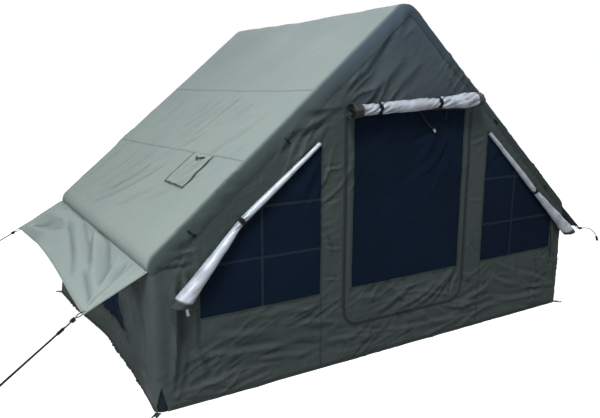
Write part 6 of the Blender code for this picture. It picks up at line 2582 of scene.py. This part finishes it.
@dataclass(frozen=True)
class View:
    """The camera at the photograph's viewing angle."""

    place: Place = (-2.301, -3.652, 1.553)
    yaw: float = 0.550
    pitch: float = 0.202
    roll: float = -0.003
    lens: float = 36.048
    sensor: float = 36.0

    def build(self) -> None:
        """Sets the camera up."""
        level = math.cos(self.pitch)
        forward = Vector((math.sin(self.yaw) * level, math.cos(self.yaw) * level, -math.sin(self.pitch)))
        right = Vector((math.cos(self.yaw), -math.sin(self.yaw), 0.0))
        up = right.cross(forward)
        turn = Matrix.Rotation(self.roll, 3, forward)
        axes = Matrix((turn @ right, turn @ up, -forward)).transposed().to_4x4()
        data = bpy.data.cameras.new("camera")
        data.lens = self.lens
        data.sensor_width = self.sensor
        camera = show("camera", data)
        camera.matrix_world = Matrix.Translation(self.place) @ axes
        bpy.context.scene.camera = camera


class Studio:
    """The camera, the lamps, the world and the floor."""

    lamps = (
        Lamp("back_lamp", (1.8, 7.6, 7.0), (-0.4, 0.0, 1.2), 2.4, 480.0),
        Lamp("upper_lamp", (-2.4, -3.4, 6.0), (-0.3, -0.6, 0.8), 1.4, 310.0),
        Lamp("left_lamp", (-5.6, -2.2, 0.9), (-0.8, -0.3, 0.6), 1.2, 95.0),
    )
    world_light = 0.27
    floor_size = 30.0
    floor_height = -0.0005

    def build(self) -> None:
        """Sets the whole studio up."""
        bpy.context.scene.view_settings.view_transform = "Standard"
        View().build()
        self.build_world()
        self.build_floor()
        for lamp in self.lamps:
            lamp.build()

    def build_world(self) -> None:
        """Even light all round, and white where the camera or a reflection sees past the tent."""
        world = bpy.data.worlds.new("studio")
        bpy.context.scene.world = world
        world.use_nodes = True
        wiring = Wiring(world.node_tree)
        white = opaque((1.0, 1.0, 1.0))
        light = world.node_tree.nodes["Background"]
        wiring.feed(light, {"Color": white, "Strength": self.world_light})
        backdrop = wiring.add("ShaderNodeBackground", {"Color": white, "Strength": 1.0})[0]
        path = wiring.add("ShaderNodeLightPath")
        seen = wiring.math("MAXIMUM", path["Is Camera Ray"], path["Is Glossy Ray"])
        seen = wiring.math("MAXIMUM", seen, path["Is Transmission Ray"])
        mixed = wiring.add("ShaderNodeMixShader", {0: seen, 1: light.outputs[0], 2: backdrop})[0]
        wiring.feed(world.node_tree.nodes["World Output"], {"Surface": mixed})

    def build_floor(self) -> None:
        """A wide pale floor that keeps the tent's soft shadow."""
        bm = bmesh.new()
        bmesh.ops.create_grid(bm, x_segments=1, y_segments=1, size=self.floor_size)
        bmesh.ops.translate(bm, vec=(0.0, 0.0, self.floor_height), verts=bm.verts)
        solid_piece("floor", bm, FloorFinish("studio_floor", (0.5, 0.5, 0.5), 0.9, gloss=0.0))


def main() -> None:
    """Builds the dressed tent around its frame, in order."""
    logging.basicConfig(level=logging.INFO, format="%(message)s")
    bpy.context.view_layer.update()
    skin = Skin(TENT)
    left = Awning(Side.LEFT, math.radians(28.7), Body.AWNING_LEFT, LEFT_FLAP_CREASES)
    right = Awning(Side.RIGHT, math.radians(35.3), Body.AWNING_RIGHT, RIGHT_FLAP_CREASES)
    parts = (
        Studio(), GuyRopes(left, right), Canopy(skin), SideWalls(skin), FrontGable(skin), BackGable(skin),
        left, right, Covers(TENT), AirFrame(skin), Ground(skin), Fittings(skin),
    )
    for part in parts:
        part.build()
        LOG.info("%s is built", type(part).__name__)
    Cloth.settle()


if __name__ == "__main__":
    main()
